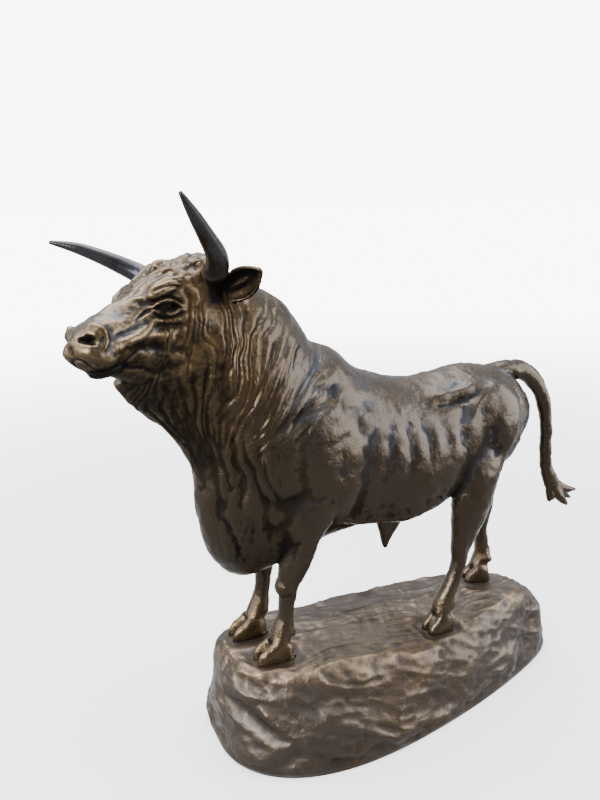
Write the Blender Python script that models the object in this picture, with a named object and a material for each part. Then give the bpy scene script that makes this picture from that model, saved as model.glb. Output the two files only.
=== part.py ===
"""A standing bull cast in bronze on a separately cast rocky base.

Metres, +Z up.  The head points along -X, the bull's left flank faces -Y, and
the origin is the middle of the base's underside.  The figure is drawn in
units, 256ths of its height at the withers, measured from the soles of the
forefeet, so its pose and proportions grow with that one height.
"""
import bpy
import numpy as np

# Driving sizes in metres
WITHERS_HEIGHT = 0.256
BASE_FRONT_HEIGHT = 0.082
FRONT_LEDGE = 0.025
REAR_LEDGE = 0.057
SIDE_LEDGE = 0.040
SEAT_GAP = 0.0003
PAD_MARGIN = 0.002
PAD_DEPTH = 0.0008
FLAT_BELOW = 0.0006

# Fineness of the two castings
VOXEL = 0.0021
BULL_TRIANGLES = 7200
BASE_TRIANGLES = 2200
BASE_AROUND = 150
BASE_RINGS_SIDE = 22
BASE_RINGS_TOP = 22

UNIT = WITHERS_HEIGHT / 256.0

# Ribs of the trunk and neck, from the jaw to the tail: the point on the
# crest or back (x, z), the point on the throat or belly (x, z), half-width,
# level of the widest place as a share of the height, roundness of the upper
# and lower half, sideways shift of the crest and of the throat
TRUNK_RIBS = [
    (-160, 314, -240, 242, 20, 0.50, 2.0, 2.0, -3, -22),
    (-144, 307, -225, 221, 33, 0.52, 1.9, 1.7, -2, -14),
    (-124, 298, -203, 199, 40, 0.52, 1.8, 1.6, 0, -8),
    (-105, 285, -186, 168, 45, 0.52, 1.8, 1.5, 0, -6),
    (-93, 268, -183, 128, 48, 0.52, 1.8, 1.5, 0, -4),
    (-85, 255, -174, 92, 51, 0.52, 1.8, 1.6, 0, -2),
    (-76, 251, -149, 69, 51, 0.55, 1.8, 1.7, 0, 0),
    (-63, 245, -112, 80, 50, 0.52, 1.8, 2.1, 0, 0),
    (-45, 229, -78, 93, 47, 0.50, 1.8, 2.3, 0, 0),
    (-20, 219, -46, 95, 48, 0.48, 1.8, 2.3, 0, 0),
    (8, 214, -8, 91, 49, 0.46, 1.8, 2.3, 0, 0),
    (34, 216, 26, 98, 46, 0.46, 1.8, 2.2, 0, 0),
    (60, 219, 54, 113, 41, 0.52, 1.8, 2.1, 0, 0),
    (84, 215, 81, 122, 37, 0.52, 1.8, 2.1, 0, 0),
    (108, 206, 103, 134, 31, 0.52, 1.8, 2.0, 0, 0),
    (127, 187, 123, 146, 16, 0.52, 1.9, 2.0, 0, 0),
]

# The head stands in its own frame: forward from the poll, left and up
HEAD_PLACE = (-177, -3, 302)
HEAD_TURN = 27.0
HEAD_DROP = 9.7
HEAD_TILT = 10.0

# Ribs of the head: forward place, top, underside, half-width, level of the
# widest place, roundness of the upper and lower half
HEAD_RIBS = [
    (-22, 12, -46, 20, 0.60, 2.0, 2.0),
    (-8, 20, -56, 25, 0.64, 2.2, 2.0),
    (6, 22, -62, 28, 0.68, 2.5, 1.9),
    (20, 21, -62, 28, 0.70, 2.8, 1.9),
    (36, 18, -57, 26, 0.70, 2.7, 1.9),
    (50, 13, -49, 20, 0.66, 2.2, 2.0),
    (62, 9.5, -41, 16.5, 0.60, 2.1, 2.0),
    (74, 6.5, -35, 15.5, 0.56, 2.1, 2.1),
    (85, 4.5, -31.5, 17, 0.54, 2.2, 2.2),
    (94, 2, -30, 17.5, 0.56, 2.3, 2.2),
    (101, -1, -26, 15.5, 0.56, 2.3, 2.2),
    (105.5, -5, -19, 10, 0.5, 2.0, 2.0),
]

# Limbs as (x, y, z, radius fore and aft, radius sideways)
FORELEG = [
    (-92, -30, 160, 26, 17),
    (-97, -34, 132, 20, 17),
    (-105, -34, 112, 12.5, 14),
    (-109, -30, 95, 12, 12),
    (-114, -25, 77, 11.5, 11),
    (-117, -23, 65, 9, 9.2),
    (-118.5, -22, 50, 6.8, 7),
    (-120, -21.5, 36, 6.5, 7),
    (-122, -21.5, 26, 8.5, 8.5),
    (-127, -21.5, 14, 8.5, 9),
]
HINDLEG = [
    (73, -22, 162, 29, 14),
    (61, -28, 135, 25, 17),
    (56, -30, 112, 21.5, 15),
    (52, -29, 92, 17.5, 12),
    (49, -27, 73, 12.5, 9),
    (46, -26, 60, 9, 8),
    (44.5, -26, 46, 6.5, 7),
    (38.5, -26, 30, 6.6, 7),
    (31, -26, 14, 8.2, 8.2),
    (26, -26, 0, 8.5, 9),
]
FAR_HINDLEG = [
    (80, 22, 166, 26, 14),
    (88, 28, 136, 28, 17),
    (96, 29, 112, 23, 15),
    (102, 27, 92, 17, 12),
    (108, 25, 74, 12, 9),
    (107, 24, 62, 9, 8),
    (106, 24, 48, 6.5, 7),
    (107.5, 24, 30, 6.5, 7),
    (109, 24, 17, 8.2, 8.2),
    (104, 24, 5, 8.5, 9),
]

# Feet as (toe x, heel x, middle y, sole z, turn outwards in degrees)
FEET = {
    "left_fore": (-148, -114, -21.5, 0.0, 0.0),
    "right_fore": (-154, -121, 21.5, 0.0, 0.0),
    "left_hind": (11, 37, -26, -14.0, 0.0),
    "right_hind": (89, 115, 24, -7.0, 18.0),
}

FOOT_HALF_WIDTH = 11.0

# The base follows from the stance: the outermost toes, heels and sides
STANCE = np.array([(place[0], place[1], abs(place[2]) + FOOT_HALF_WIDTH) for place in FEET.values()])
STANCE_FRONT = STANCE[:, 0].min() * UNIT - FRONT_LEDGE
STANCE_REAR = STANCE[:, 1].max() * UNIT + REAR_LEDGE
FIGURE_SHIFT = -(STANCE_FRONT + STANCE_REAR) / 2
BASE_LENGTH = STANCE_REAR - STANCE_FRONT
BASE_WIDTH = 2 * (STANCE[:, 2].max() * UNIT + SIDE_LEDGE)
ROUND_CORNER = 2.2
SQUARE_CORNER = 3.2
NEAR_FULLNESS = 0.89
FAR_FULLNESS = 1.0
NEAR_TAPER = 0.46
FAR_TAPER = 0.08
WAIST_PLACE = -0.45
WAIST_LENGTH = 0.22
WAIST_DEPTH = 0.16
REAR_FALL = 0.018
REAR_FALL_FROM = 0.36

# The base's wall: shares of the outline at its front end, its rear end, its
# near and its far side, and share of the height, from the ground to the top
BASE_PROFILE = [
    (0.98, 0.97, 0.985, 0.985, 0.0),
    (0.99, 0.98, 1.0, 1.0, 0.10),
    (0.98, 0.965, 0.96, 0.96, 0.35),
    (0.965, 0.925, 0.88, 0.89, 0.65),
    (0.945, 0.865, 0.76, 0.80, 0.88),
    (0.905, 0.79, 0.63, 0.68, 1.0),
]

TAIL = [
    (86, 0, 206, 12, 10),
    (104, 0, 208, 10, 8.5),
    (124, -1, 206, 9, 7.5),
    (140, -2, 194, 7.8, 6.8),
    (151, -3, 174, 6.6, 6),
    (156, -3, 150, 5.8, 5.4),
    (157, -3, 124, 5.6, 5.2),
    (160, -3, 106, 6.0, 5.2),
    (166, -3, 92, 8.0, 5.6),
    (170, -3, 84, 7.0, 4.5),
]

# Where each lock of the tail's tuft ends, and how far it stands to one side
TUFT_TIPS = [(196, 79, -2), (195, 69, 3), (183, 67, -5), (172, 71, 2), (162, 73, -3)]

# Horn on the left side, in the head's frame: forward, left, up, radius
HORN = [
    (2, 16, 9, 9.0),
    (0, 27, 6, 8.6),
    (3, 37, 10, 8.0),
    (9, 46, 19, 7.0),
    (22, 55, 31, 5.4),
    (36, 65, 45, 3.8),
    (51, 77, 57, 1.5),
]

SHEATH = [
    (-10, 0, 100, 15, 8),
    (-12, 0, 85, 11.5, 6.5),
    (-14, 0, 74, 6, 4.5),
    (-15, 0, 62, 1.6, 1.4),
]

# Grooves (positive depth) and ridges (negative) cut along the sides, drawn
# in side view as x, z points, with their half-width and depth
CARVING = [
    ([(-156, 290), (-166, 262), (-168, 238), (-166, 202)], 4.0, 4.5),
    ([(-126, 263), (-138, 241), (-150, 220)], 3.0, 2.8),
    ([(-98, 258), (-120, 238), (-136, 219), (-147, 198)], 3.2, 3.6),
    ([(-82, 247), (-104, 230), (-119, 215), (-131, 198)], 3.4, 3.2),
    ([(-68, 226), (-103, 210), (-122, 203), (-136, 192)], 4.0, 3.6),
    ([(-184, 292), (-186, 268), (-189, 243), (-184, 210)], 3.0, 2.8),
    ([(-174, 289), (-177, 263), (-180, 239), (-179, 208), (-175, 180)], 3.0, 2.8),
    ([(-193, 268), (-199, 249), (-195, 228), (-186, 199)], 2.8, 2.2),
    ([(-205, 262), (-210, 246), (-205, 230)], 2.8, 2.2),
    ([(-78, 196), (-79, 178), (-82, 159), (-90, 142)], 4.5, 4.0),
    ([(-154, 176), (-147, 150), (-124, 141), (-101, 146)], 5.0, 3.2),
    ([(-174, 130), (-163, 108), (-142, 103), (-130, 120)], 4.5, 3.0),
    ([(20, 202), (41, 203), (60, 205)], 4.0, -5.0),
    ([(58, 206), (49, 191), (34, 176)], 3.6, -3.0),
    ([(30, 193), (38, 188), (37, 180)], 8.0, 4.0),
    ([(-47, 188), (-55, 169), (-59, 147)], 4.0, 2.0),
    ([(-33, 186), (-37, 165), (-43, 142)], 4.0, 2.2),
    ([(-18, 188), (-17, 170), (-22, 148)], 4.0, 2.0),
    ([(-4, 190), (0, 171), (-1, 150)], 4.0, 1.8),
    ([(12, 190), (17, 172), (17, 150)], 4.0, 1.6),
    ([(73, 193), (67, 169), (75, 150), (62, 134)], 5.0, 2.4),
    ([(33, 176), (38, 158), (38, 140), (33, 122)], 4.5, 3.4),
]

BRONZE = (0.085, 0.060, 0.042, 1.0)
ROCK_BRONZE = (0.100, 0.070, 0.055, 1.0)


def through(points, count):
    """Rows on a Catmull-Rom curve through the rows of points."""
    p = np.asarray(points, float)
    ends = np.vstack([2 * p[0] - p[1], p, 2 * p[-1] - p[-2]])
    t = np.linspace(0, len(p) - 1, count)
    i = np.minimum(t.astype(int), len(p) - 2)
    f = (t - i)[:, None]
    a, b, c, d = ends[i], ends[i + 1], ends[i + 2], ends[i + 3]
    return 0.5 * (2 * b + (c - a) * f + (2 * a - 5 * b + 4 * c - d) * f ** 2
                  + (3 * b - a - 3 * c + d) * f ** 3)


def shell(rings):
    """Vertices and faces of a closed skin over rings, shape (m, n, 3)."""
    m, n, _ = rings.shape
    caps = np.stack([rings[0].mean(axis=0), rings[-1].mean(axis=0)])
    verts = np.vstack([rings.reshape(-1, 3), caps])
    ring = np.arange(n)
    following = (ring + 1) % n
    faces = []
    for k in range(m - 1):
        low, high = k * n, (k + 1) * n
        faces += list(zip(low + ring, low + following, high + following, high + ring))
    faces += [(m * n, b, a) for a, b in zip(ring, following)]
    top = (m - 1) * n
    faces += [(m * n + 1, top + a, top + b) for a, b in zip(ring, following)]
    return verts, faces


def signed_power(values, power):
    """Each value's size raised to a power, with its sign kept."""
    return np.sign(values) * np.abs(values) ** power


def ribbed(top, bottom, half_width, level, upper, lower, lateral, around=40):
    """Skin over ribs, each a superellipse between a top and a bottom point."""
    angle = np.linspace(0, 2 * np.pi, around, endpoint=False)[None, :]
    across, along = np.sin(angle), np.cos(angle)
    power = np.where(along >= 0, 2 / upper[:, None], 2 / lower[:, None])
    centre = bottom + (top - bottom) * level[:, None]
    rise = np.where(along >= 0, 1 - level[:, None], level[:, None]) * signed_power(along, power)
    side = half_width[:, None] * signed_power(across, power)
    return shell(centre[:, None] + rise[..., None] * (top - bottom)[:, None]
                 + side[..., None] * np.asarray(lateral, float))


def tube(stations, count=40, around=20, forward=(1, 0, 0)):
    """Skin over ellipses square to a curve: x, y, z and one or two radii."""
    rows = through(stations, count)
    points = rows[:, :3]
    radii = rows[:, 3:] if rows.shape[1] > 4 else np.repeat(rows[:, 3:], 2, axis=1)
    along = np.gradient(points, axis=0)
    along /= np.linalg.norm(along, axis=1, keepdims=True)
    second = np.cross(along, np.asarray(forward, float))
    second /= np.linalg.norm(second, axis=1, keepdims=True)
    first = np.cross(second, along)
    angle = np.linspace(0, 2 * np.pi, around, endpoint=False)
    ring = (radii[:, :1] * np.cos(angle))[..., None] * first[:, None]
    ring = ring + (radii[:, 1:] * np.sin(angle))[..., None] * second[:, None]
    return shell(points[:, None] + ring)


def mass(centre, radii, pitch=0.0, yaw=0.0):
    """A muscle or other swelling: an ellipsoid, turned about Y and then Z."""
    polar = np.linspace(0.12, np.pi - 0.12, 14)[:, None]
    angle = np.linspace(0, 2 * np.pi, 24, endpoint=False)[None]
    ball = np.stack([np.cos(polar) + 0 * angle, np.sin(polar) * np.cos(angle),
                     np.sin(polar) * np.sin(angle)], axis=-1) * np.asarray(radii, float)
    p, y = np.radians([pitch, yaw])
    about_y = np.array([[np.cos(p), 0, np.sin(p)], [0, 1, 0], [-np.sin(p), 0, np.cos(p)]])
    about_z = np.array([[np.cos(y), -np.sin(y), 0], [np.sin(y), np.cos(y), 0], [0, 0, 1]])
    return shell(ball @ (about_z @ about_y).T + np.asarray(centre, float))


def mirrored(skin):
    """The same skin on the other side of the middle plane."""
    verts, faces = skin
    return verts * (1, -1, 1), [tuple(reversed(face)) for face in faces]


def both_sides(skin):
    """A skin and its mirror image."""
    return [skin, mirrored(skin)]


def head_axes():
    """Forward, left and up of the head in the figure's frame."""
    turn, drop, tilt = np.radians([HEAD_TURN, HEAD_DROP, HEAD_TILT])
    forward = np.array([-np.cos(turn) * np.cos(drop), -np.sin(turn) * np.cos(drop), -np.sin(drop)])
    left = np.array([np.sin(turn), -np.cos(turn), 0.0])
    up = np.cross(forward, left)
    return np.array([forward, left * np.cos(tilt) + up * np.sin(tilt),
                     up * np.cos(tilt) - left * np.sin(tilt)])


def head_to_figure(skin):
    """A skin drawn in the head's frame, carried to the figure's."""
    verts, faces = skin
    return np.asarray(HEAD_PLACE, float) + verts @ head_axes(), faces


def trunk_and_neck():
    """The body's skin, from the jaw to the tail."""
    r = through(TRUNK_RIBS, 90)
    top = np.stack([r[:, 0], r[:, 8], r[:, 1]], axis=1)
    bottom = np.stack([r[:, 2], r[:, 9], r[:, 3]], axis=1)
    return ribbed(top, bottom, r[:, 4], r[:, 5], r[:, 6], r[:, 7], (0, 1, 0), 56)


def head():
    """Skull, muzzle, chin, brows, eyes, cheeks and the curls on the poll."""
    r = through(HEAD_RIBS, 60)
    zero = np.zeros(len(r))
    skull = ribbed(np.stack([r[:, 0], zero, r[:, 1]], axis=1),
                   np.stack([r[:, 0], zero, r[:, 2]], axis=1),
                   r[:, 3], r[:, 4], r[:, 5], r[:, 6], (0, 1, 0), 40)
    skins = [skull, mass((0, 0, 17), (20, 26, 9)), mass((15, -5, 18), (15, 20, 8.5)),
              mass((87, 0, -29.5), (16, 12, 6.5))]
    skins += both_sides(mass((36, 21, 9), (16, 9, 8), pitch=10))
    skins += both_sides(mass((41, 20, -2), (8, 6, 6)))
    skins += both_sides(mass((10, 18, -26), (24, 12, 22), pitch=-20))
    skins += both_sides(mass((62, 13, -12), (24, 6, 5), pitch=6))
    skins += both_sides(mass((94, 11.5, -5), (7, 6.5, 6)))
    skins += both_sides(tube(HORN, 30, 16, (0, 0, 1)))
    skins += both_sides(ear())
    return [head_to_figure(skin) for skin in skins]


def ear():
    """A cupped leaf: its edges curl forward round a hollow."""
    length, width, wall, curl = 40.0, 11.0, 2.2, 1.25
    along = np.linspace(0, 1, 16)[:, None]
    across = np.linspace(-1, 1, 13)[None]
    half = width * (0.40 + 0.60 * np.sin(np.pi * along ** 1.2)) * (1 - along ** 6) ** 0.5
    half = np.maximum(half, 1.2)
    angle = across * curl
    root, out = np.array([-4.0, 22.0, -13.0]), np.array([-0.28, 0.93, 0.34])
    out = out / np.linalg.norm(out)
    upward = np.array([0.10, -0.10, 1.0])
    upward = upward - out * (upward @ out)
    upward = upward / np.linalg.norm(upward)
    open_side = np.cross(upward, out)
    open_side = open_side * np.sign(open_side[0])

    def leaf(depth):
        """One side of the leaf, a depth away from the middle of its wall."""
        reach = half + depth
        rise = reach * np.sin(angle) / np.sin(curl)
        bend = -reach * (np.cos(angle) - np.cos(curl)) * 0.8 - depth
        return (root + (along * length)[..., None] * out + rise[..., None] * upward
                + bend[..., None] * open_side)

    back, front = leaf(wall / 2), leaf(-wall / 2)[:, ::-1]
    return shell(np.concatenate([back, front], axis=1))


def foot(toe, heel, y, sole, turn):
    """Two claws side by side, with the dew claws behind them."""
    skins = []
    length = heel - toe
    angle = np.radians(turn)
    pivot = np.array([(toe + heel) / 2, y, 0.0])
    about_z = np.array([[np.cos(angle), np.sin(angle), 0],
                        [-np.sin(angle), np.cos(angle), 0], [0, 0, 1]])
    for side in (-1, 1):
        rows = []
        for share, x_toe, x_heel, half in ((-0.30, 0.0, 1.0, 5.4), (0.0, 0.0, 1.0, 5.4),
                                           (0.5, 0.22, 0.98, 5.0), (1.0, 0.42, 0.92, 4.4)):
            a, b = toe + x_toe * length, toe + x_heel * length
            rows.append(((a + b) / 2, y + side * 5.2, sole + share * 15, (b - a) / 2, half))
        skins.append(tube(rows, 12, 20))
        skins.append(mass((toe + 0.86 * length, y + side * 5.5, sole + 23), (5, 3.6, 4), pitch=35))
    return [((verts - pivot) @ about_z.T + pivot, faces) for verts, faces in skins]


def tuft():
    """The tail's end: pointed locks that spread from one root."""
    root = np.array(TAIL[-2][:3], float)
    skins = []
    for x, z, aside in TUFT_TIPS:
        tip = np.array([x, root[1] + aside, z], float)
        middle = (root + tip) / 2 + (0, aside * 0.3, -3)
        rows = [(*root, 6, 4.5), (*middle, 4.8, 4), (*tip, 1.2, 1.2)]
        skins.append(tube(rows, 14, 12))
    return skins


def legs():
    """The four legs, each down to its pastern."""
    right_fore = [(x - 6 * max(0.0, 1 - z / 130.0), -y, z, a, b) for x, y, z, a, b in FORELEG]
    return [tube(rows, 50, 24) for rows in (FORELEG, right_fore, HINDLEG, FAR_HINDLEG)]


def muscles():
    """Shoulders, upper arms, haunches, sheath and purse."""
    skins = both_sides(mass((-92, 33, 168), (40, 21, 58), pitch=-14))
    skins += both_sides(mass((-104, 37, 128), (26, 18, 28), pitch=20))
    skins += both_sides(mass((74, 24, 168), (33, 19, 40), pitch=-4))
    skins.append(tube(SHEATH, 16, 16))
    skins.append(mass((78, 0, 112), (10, 11, 17)))
    return skins


def new_object(name, verts, faces, colour, roughness):
    """A named mesh object with its own bronze."""
    mesh = bpy.data.meshes.new(name)
    mesh.from_pydata([tuple(v) for v in verts], [], [tuple(int(i) for i in f) for f in faces])
    obj = bpy.data.objects.new(name, mesh)
    bpy.context.collection.objects.link(obj)
    material = bpy.data.materials.new(name + "_bronze")
    material.use_nodes = True
    shader = material.node_tree.nodes["Principled BSDF"]
    shader.inputs["Base Color"].default_value = colour
    shader.inputs["Roughness"].default_value = roughness
    shader.inputs["Metallic"].default_value = 0.9
    mesh.materials.append(material)
    return obj


def carve(obj, strokes, unit, lift):
    """Push the skin in or out along strokes that are drawn in side view."""
    count = len(obj.data.vertices)
    places = np.empty(count * 3)
    normals = np.empty(count * 3)
    obj.data.vertices.foreach_get("co", places)
    obj.data.vertices.foreach_get("normal", normals)
    places, normals = places.reshape(-1, 3), normals.reshape(-1, 3)
    side = places[:, [0, 2]] / unit - (0, lift / unit)
    facing = np.clip(np.abs(normals[:, 1]) * 2.5 - 0.2, 0, 1)
    push = np.zeros(count)
    for points, width, depth in strokes:
        line = through(points, 12 * len(points))
        near = np.abs(side - line.mean(axis=0)).max(axis=1) < np.ptp(line, axis=0).max() + 3 * width
        gaps = np.linalg.norm(side[near][:, None] - line[None], axis=2)
        closest = gaps.argmin(axis=1)
        fade = np.sin(np.pi * (closest + 1) / (len(line) + 1)) ** 0.5
        push[near] -= depth * fade * np.exp(-(gaps.min(axis=1) / width) ** 2)
    places += normals * (push * facing * unit)[:, None]
    obj.data.vertices.foreach_set("co", places.ravel())
    obj.data.update()


def joined(skins):
    """Several skins as one list of vertices and one of faces."""
    verts, faces, start = [], [], 0
    for points, polygons in skins:
        verts.append(points)
        faces += [tuple(start + i for i in face) for face in polygons]
        start += len(points)
    return np.vstack(verts), faces


def apply_modifiers(obj):
    """The object's mesh as its modifiers leave it."""
    graph = bpy.context.evaluated_depsgraph_get()
    mesh = bpy.data.meshes.new_from_object(obj.evaluated_get(graph))
    obj.modifiers.clear()
    obj.data = mesh
    return obj


def fused(name, skins, colour):
    """Overlapping skins melted into one, carved and thinned out."""
    verts, faces = joined(skins)
    verts = verts * UNIT + (FIGURE_SHIFT, 0, BASE_FRONT_HEIGHT)
    obj = new_object(name, verts, faces, colour, 0.35)
    remesh = obj.modifiers.new("fuse", "REMESH")
    remesh.mode = "VOXEL"
    remesh.voxel_size = VOXEL
    smooth = obj.modifiers.new("soften", "SMOOTH")
    smooth.factor = 0.5
    smooth.iterations = 4
    return apply_modifiers(obj)


def decimated(obj, triangles):
    """The object thinned out to about a number of triangles."""
    obj.data.calc_loop_triangles()
    thin = obj.modifiers.new("thin", "DECIMATE")
    thin.ratio = triangles / len(obj.data.loop_triangles)
    return apply_modifiers(obj)


def cut_away(obj, boxes):
    """Cut boxes, given by their lowest and highest corners, from an object."""
    skins = []
    for low, high in boxes:
        x0, y0, z0 = low
        x1, y1, z1 = high
        ring = np.array([(x0, y0), (x1, y0), (x1, y1), (x0, y1)])
        skins.append(shell(np.stack([np.column_stack([ring, np.full(4, z)]) for z in (z0, z1)])))
    verts, faces = joined(skins)
    cutter = new_object(obj.name + "_cutter", verts, faces, BRONZE, 0.5)
    cutter.hide_render = True
    cutter.display_type = "WIRE"
    cut = obj.modifiers.new("cut", "BOOLEAN")
    cut.operation = "DIFFERENCE"
    cut.object = cutter
    return apply_modifiers(obj)


def foot_box(place, margin, low, high):
    """A box round a foot in plan, between two heights in metres."""
    toe, heel, y, _, turn = place
    spread = FOOT_HALF_WIDTH + 0.5 * (heel - toe) * np.sin(np.radians(turn))
    return ((toe * UNIT + FIGURE_SHIFT - margin, (y - spread) * UNIT - margin, low),
            (heel * UNIT + FIGURE_SHIFT + margin, (y + spread) * UNIT + margin, high))


def sole_height(place):
    """Height of a foot's sole above the ground that the base stands on."""
    return BASE_FRONT_HEIGHT + place[3] * UNIT


def bull():
    """The figure: its skins fused, carved, thinned out and cut flat below."""
    skins = [trunk_and_neck(), tube(TAIL, 50, 20)] + tuft() + head() + legs() + muscles()
    for place in FEET.values():
        skins += foot(*place)
    obj = fused("bull", skins, BRONZE)
    carve(obj, CARVING, UNIT, BASE_FRONT_HEIGHT)
    decimated(obj, BULL_TRIANGLES)
    soles = [foot_box(place, 2 * PAD_MARGIN, sole_height(place) - 0.02, sole_height(place))
             for place in FEET.values()]
    return cut_away(obj, soles)


def rock_waves(points):
    """Hammered unevenness of the rock: three sets of crossing waves, in metres."""
    x, y, z = (points[..., k] / UNIT for k in range(3))
    broad = np.sin(0.055 * x + 0.09 * y + 0.6) * np.cos(0.075 * z - 0.03 * x + 1.1)
    lumps = np.sin(0.13 * x - 0.11 * z + 1.7 * broad) * np.sin(0.10 * y + 0.15 * z + 0.9)
    ripple = np.sin(0.62 * y + 0.10 * x + 2.2 * np.sin(0.045 * x + 0.5))
    return broad, lumps, ripple


def rock_height(x, y):
    """Height of the rock's top: the soles' heights, each weighted by nearness."""
    total, weights = 0.0, 0.0
    for place in FEET.values():
        toe, heel, foot_y, _, _ = place
        gap = np.hypot(x - ((toe + heel) / 2 * UNIT + FIGURE_SHIFT), y - foot_y * UNIT)
        weight = 1.0 / (gap ** 2 + (0.02) ** 2)
        total = total + weight * (sole_height(place) + PAD_DEPTH)
        weights = weights + weight
    fall = np.clip((x / BASE_LENGTH - REAR_FALL_FROM) / (0.5 - REAR_FALL_FROM), 0, 1)
    return total / weights - REAR_FALL * fall ** 1.5


def rock_base():
    """The rocky base: an egg in plan, wider in front, with pads under the feet."""
    angle = np.linspace(0, 2 * np.pi, BASE_AROUND, endpoint=False)[None, :]
    wall = through(BASE_PROFILE, BASE_RINGS_SIDE)
    inward = np.linspace(1, 0.06, BASE_RINGS_TOP)[1:, None]
    top = np.hstack([wall[-1, :4] * inward, np.ones_like(inward)])
    front, rear, near, far, height = (column[:, None] for column in np.vstack([wall, top]).T)
    ahead, beyond = np.cos(angle) < 0, np.sin(angle) > 0
    power = 2 / np.where(ahead & beyond, SQUARE_CORNER, ROUND_CORNER)
    x = signed_power(np.cos(angle), power) * np.where(ahead, front, rear)
    half = np.where(beyond, FAR_FULLNESS - FAR_TAPER * x, NEAR_FULLNESS - NEAR_TAPER * x) * BASE_WIDTH / 2
    waist = 1 - WAIST_DEPTH * height * beyond * np.exp(-((x - WAIST_PLACE) / WAIST_LENGTH) ** 2)
    y = half * waist * signed_power(np.sin(angle), power) * np.where(beyond, far, near)
    x = x * BASE_LENGTH / 2
    points = np.stack([x, y, height * rock_height(x, y)], axis=-1)
    across, along = np.gradient(points, axis=0), np.gradient(points, axis=1)
    normals = np.cross(along, across)
    normals /= np.linalg.norm(normals, axis=-1, keepdims=True) + 1e-12
    broad, lumps, ripple = rock_waves(points)
    on_top = np.clip((height - 0.93) / 0.07, 0, 1)
    swell = (1 - on_top) * (2.2 * broad + 3.0 * lumps) + on_top * (0.8 * broad + 1.0 * ripple)
    settled = np.clip(height / 0.15, 0, 1)
    points = points + normals * (swell * settled * UNIT)[..., None]
    verts, faces = shell(points)
    obj = new_object("rock_base", verts, faces, ROCK_BRONZE, 0.4)
    decimated(obj, BASE_TRIANGLES)
    for vertex in obj.data.vertices:
        if vertex.co.z < FLAT_BELOW:
            vertex.co.z = 0.0
    pads = [foot_box(place, PAD_MARGIN, sole_height(place) - SEAT_GAP, sole_height(place) + 0.03)
            for place in FEET.values()]
    return cut_away(obj, pads)


def clear_scene():
    """An empty scene to model in."""
    for obj in list(bpy.data.objects):
        bpy.data.objects.remove(obj, do_unlink=True)


clear_scene()
bull()
rock_base()
for leftover in [obj for obj in bpy.data.objects if obj.name.endswith("_cutter")]:
    bpy.data.objects.remove(leftover, do_unlink=True)
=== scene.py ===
"""Looks of a bronze bull on its rocky base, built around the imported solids.

Metres, +Z up, head towards -X, the bull's left flank towards -Y.  The figure
is drawn in units, 256ths of its height at the withers, from the soles of the
forefeet.
"""

import bmesh
import bpy
import numpy as np
from mathutils import Matrix


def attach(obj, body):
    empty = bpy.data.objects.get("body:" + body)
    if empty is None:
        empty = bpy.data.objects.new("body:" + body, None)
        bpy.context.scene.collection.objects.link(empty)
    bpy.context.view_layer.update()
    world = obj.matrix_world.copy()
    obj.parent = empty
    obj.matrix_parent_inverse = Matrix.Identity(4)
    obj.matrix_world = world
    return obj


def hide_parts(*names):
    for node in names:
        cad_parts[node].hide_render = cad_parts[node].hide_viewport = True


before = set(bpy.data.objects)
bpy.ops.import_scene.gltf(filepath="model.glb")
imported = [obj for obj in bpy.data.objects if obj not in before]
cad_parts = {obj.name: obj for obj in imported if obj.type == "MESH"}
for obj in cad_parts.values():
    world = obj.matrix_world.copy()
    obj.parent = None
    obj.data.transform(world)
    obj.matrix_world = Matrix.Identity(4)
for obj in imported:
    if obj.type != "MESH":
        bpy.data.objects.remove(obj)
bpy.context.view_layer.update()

bl_info = {
    "name": "Bronze Bull",
    "version": (1, 0, 0),
    "blender": (4, 5, 0),
    "location": "View3D > Sidebar > Bronze Bull",
    "description": "A standing bull cast in bronze, on a rocky base",
    "category": "Add Mesh",
}

UNIT = 0.256 / 256
FIGURE_SHIFT = 0.0035
FIGURE_LIFT = 0.082
FIGURE_PLACE = np.array([FIGURE_SHIFT, 0, FIGURE_LIFT])

# In metres: how far a foot reaches from its middle, the gap between sole and
# pad, and the relief of each casting that counts as a full ridge
FOOT_REACH = 0.024
SOLE_GAP = 0.0003
BULL_RELIEF = 0.0011
BASE_RELIEF = 0.0014

# Vertex group that says how strongly a modifier works at each point
GROUP = "plain"

# Ribs of the trunk and neck, from the jaw to the tail: crest or back (x, z),
# throat or belly (x, z), half-width, level of the widest place, roundness of
# the upper and lower half, sideways shift of the crest and of the throat
TRUNK_RIBS = [
    (-160, 314, -240, 242, 20, 0.50, 2.0, 2.0, -3, -22),
    (-144, 307, -225, 221, 33, 0.52, 1.9, 1.7, -2, -14),
    (-124, 298, -203, 199, 40, 0.52, 1.8, 1.6, 0, -8),
    (-105, 285, -186, 168, 45, 0.52, 1.8, 1.5, 0, -6),
    (-93, 268, -183, 128, 48, 0.52, 1.8, 1.5, 0, -4),
    (-85, 255, -174, 92, 51, 0.52, 1.8, 1.6, 0, -2),
    (-76, 251, -149, 69, 51, 0.55, 1.8, 1.7, 0, 0),
    (-63, 245, -112, 80, 50, 0.52, 1.8, 2.1, 0, 0),
    (-45, 229, -78, 93, 47, 0.50, 1.8, 2.3, 0, 0),
    (-20, 219, -46, 95, 48, 0.48, 1.8, 2.3, 0, 0),
    (8, 214, -8, 91, 49, 0.46, 1.8, 2.3, 0, 0),
    (34, 216, 26, 98, 46, 0.46, 1.8, 2.2, 0, 0),
    (60, 219, 54, 113, 41, 0.52, 1.8, 2.1, 0, 0),
    (84, 215, 81, 122, 37, 0.52, 1.8, 2.1, 0, 0),
    (108, 206, 103, 134, 31, 0.52, 1.8, 2.0, 0, 0),
    (127, 187, 123, 146, 16, 0.52, 1.9, 2.0, 0, 0),
]

# The head stands in its own frame: forward from the poll, left and up
HEAD_PLACE = (-177, -3, 302)
HEAD_TURN, HEAD_DROP, HEAD_TILT = 27.0, 9.7, 10.0

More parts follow.
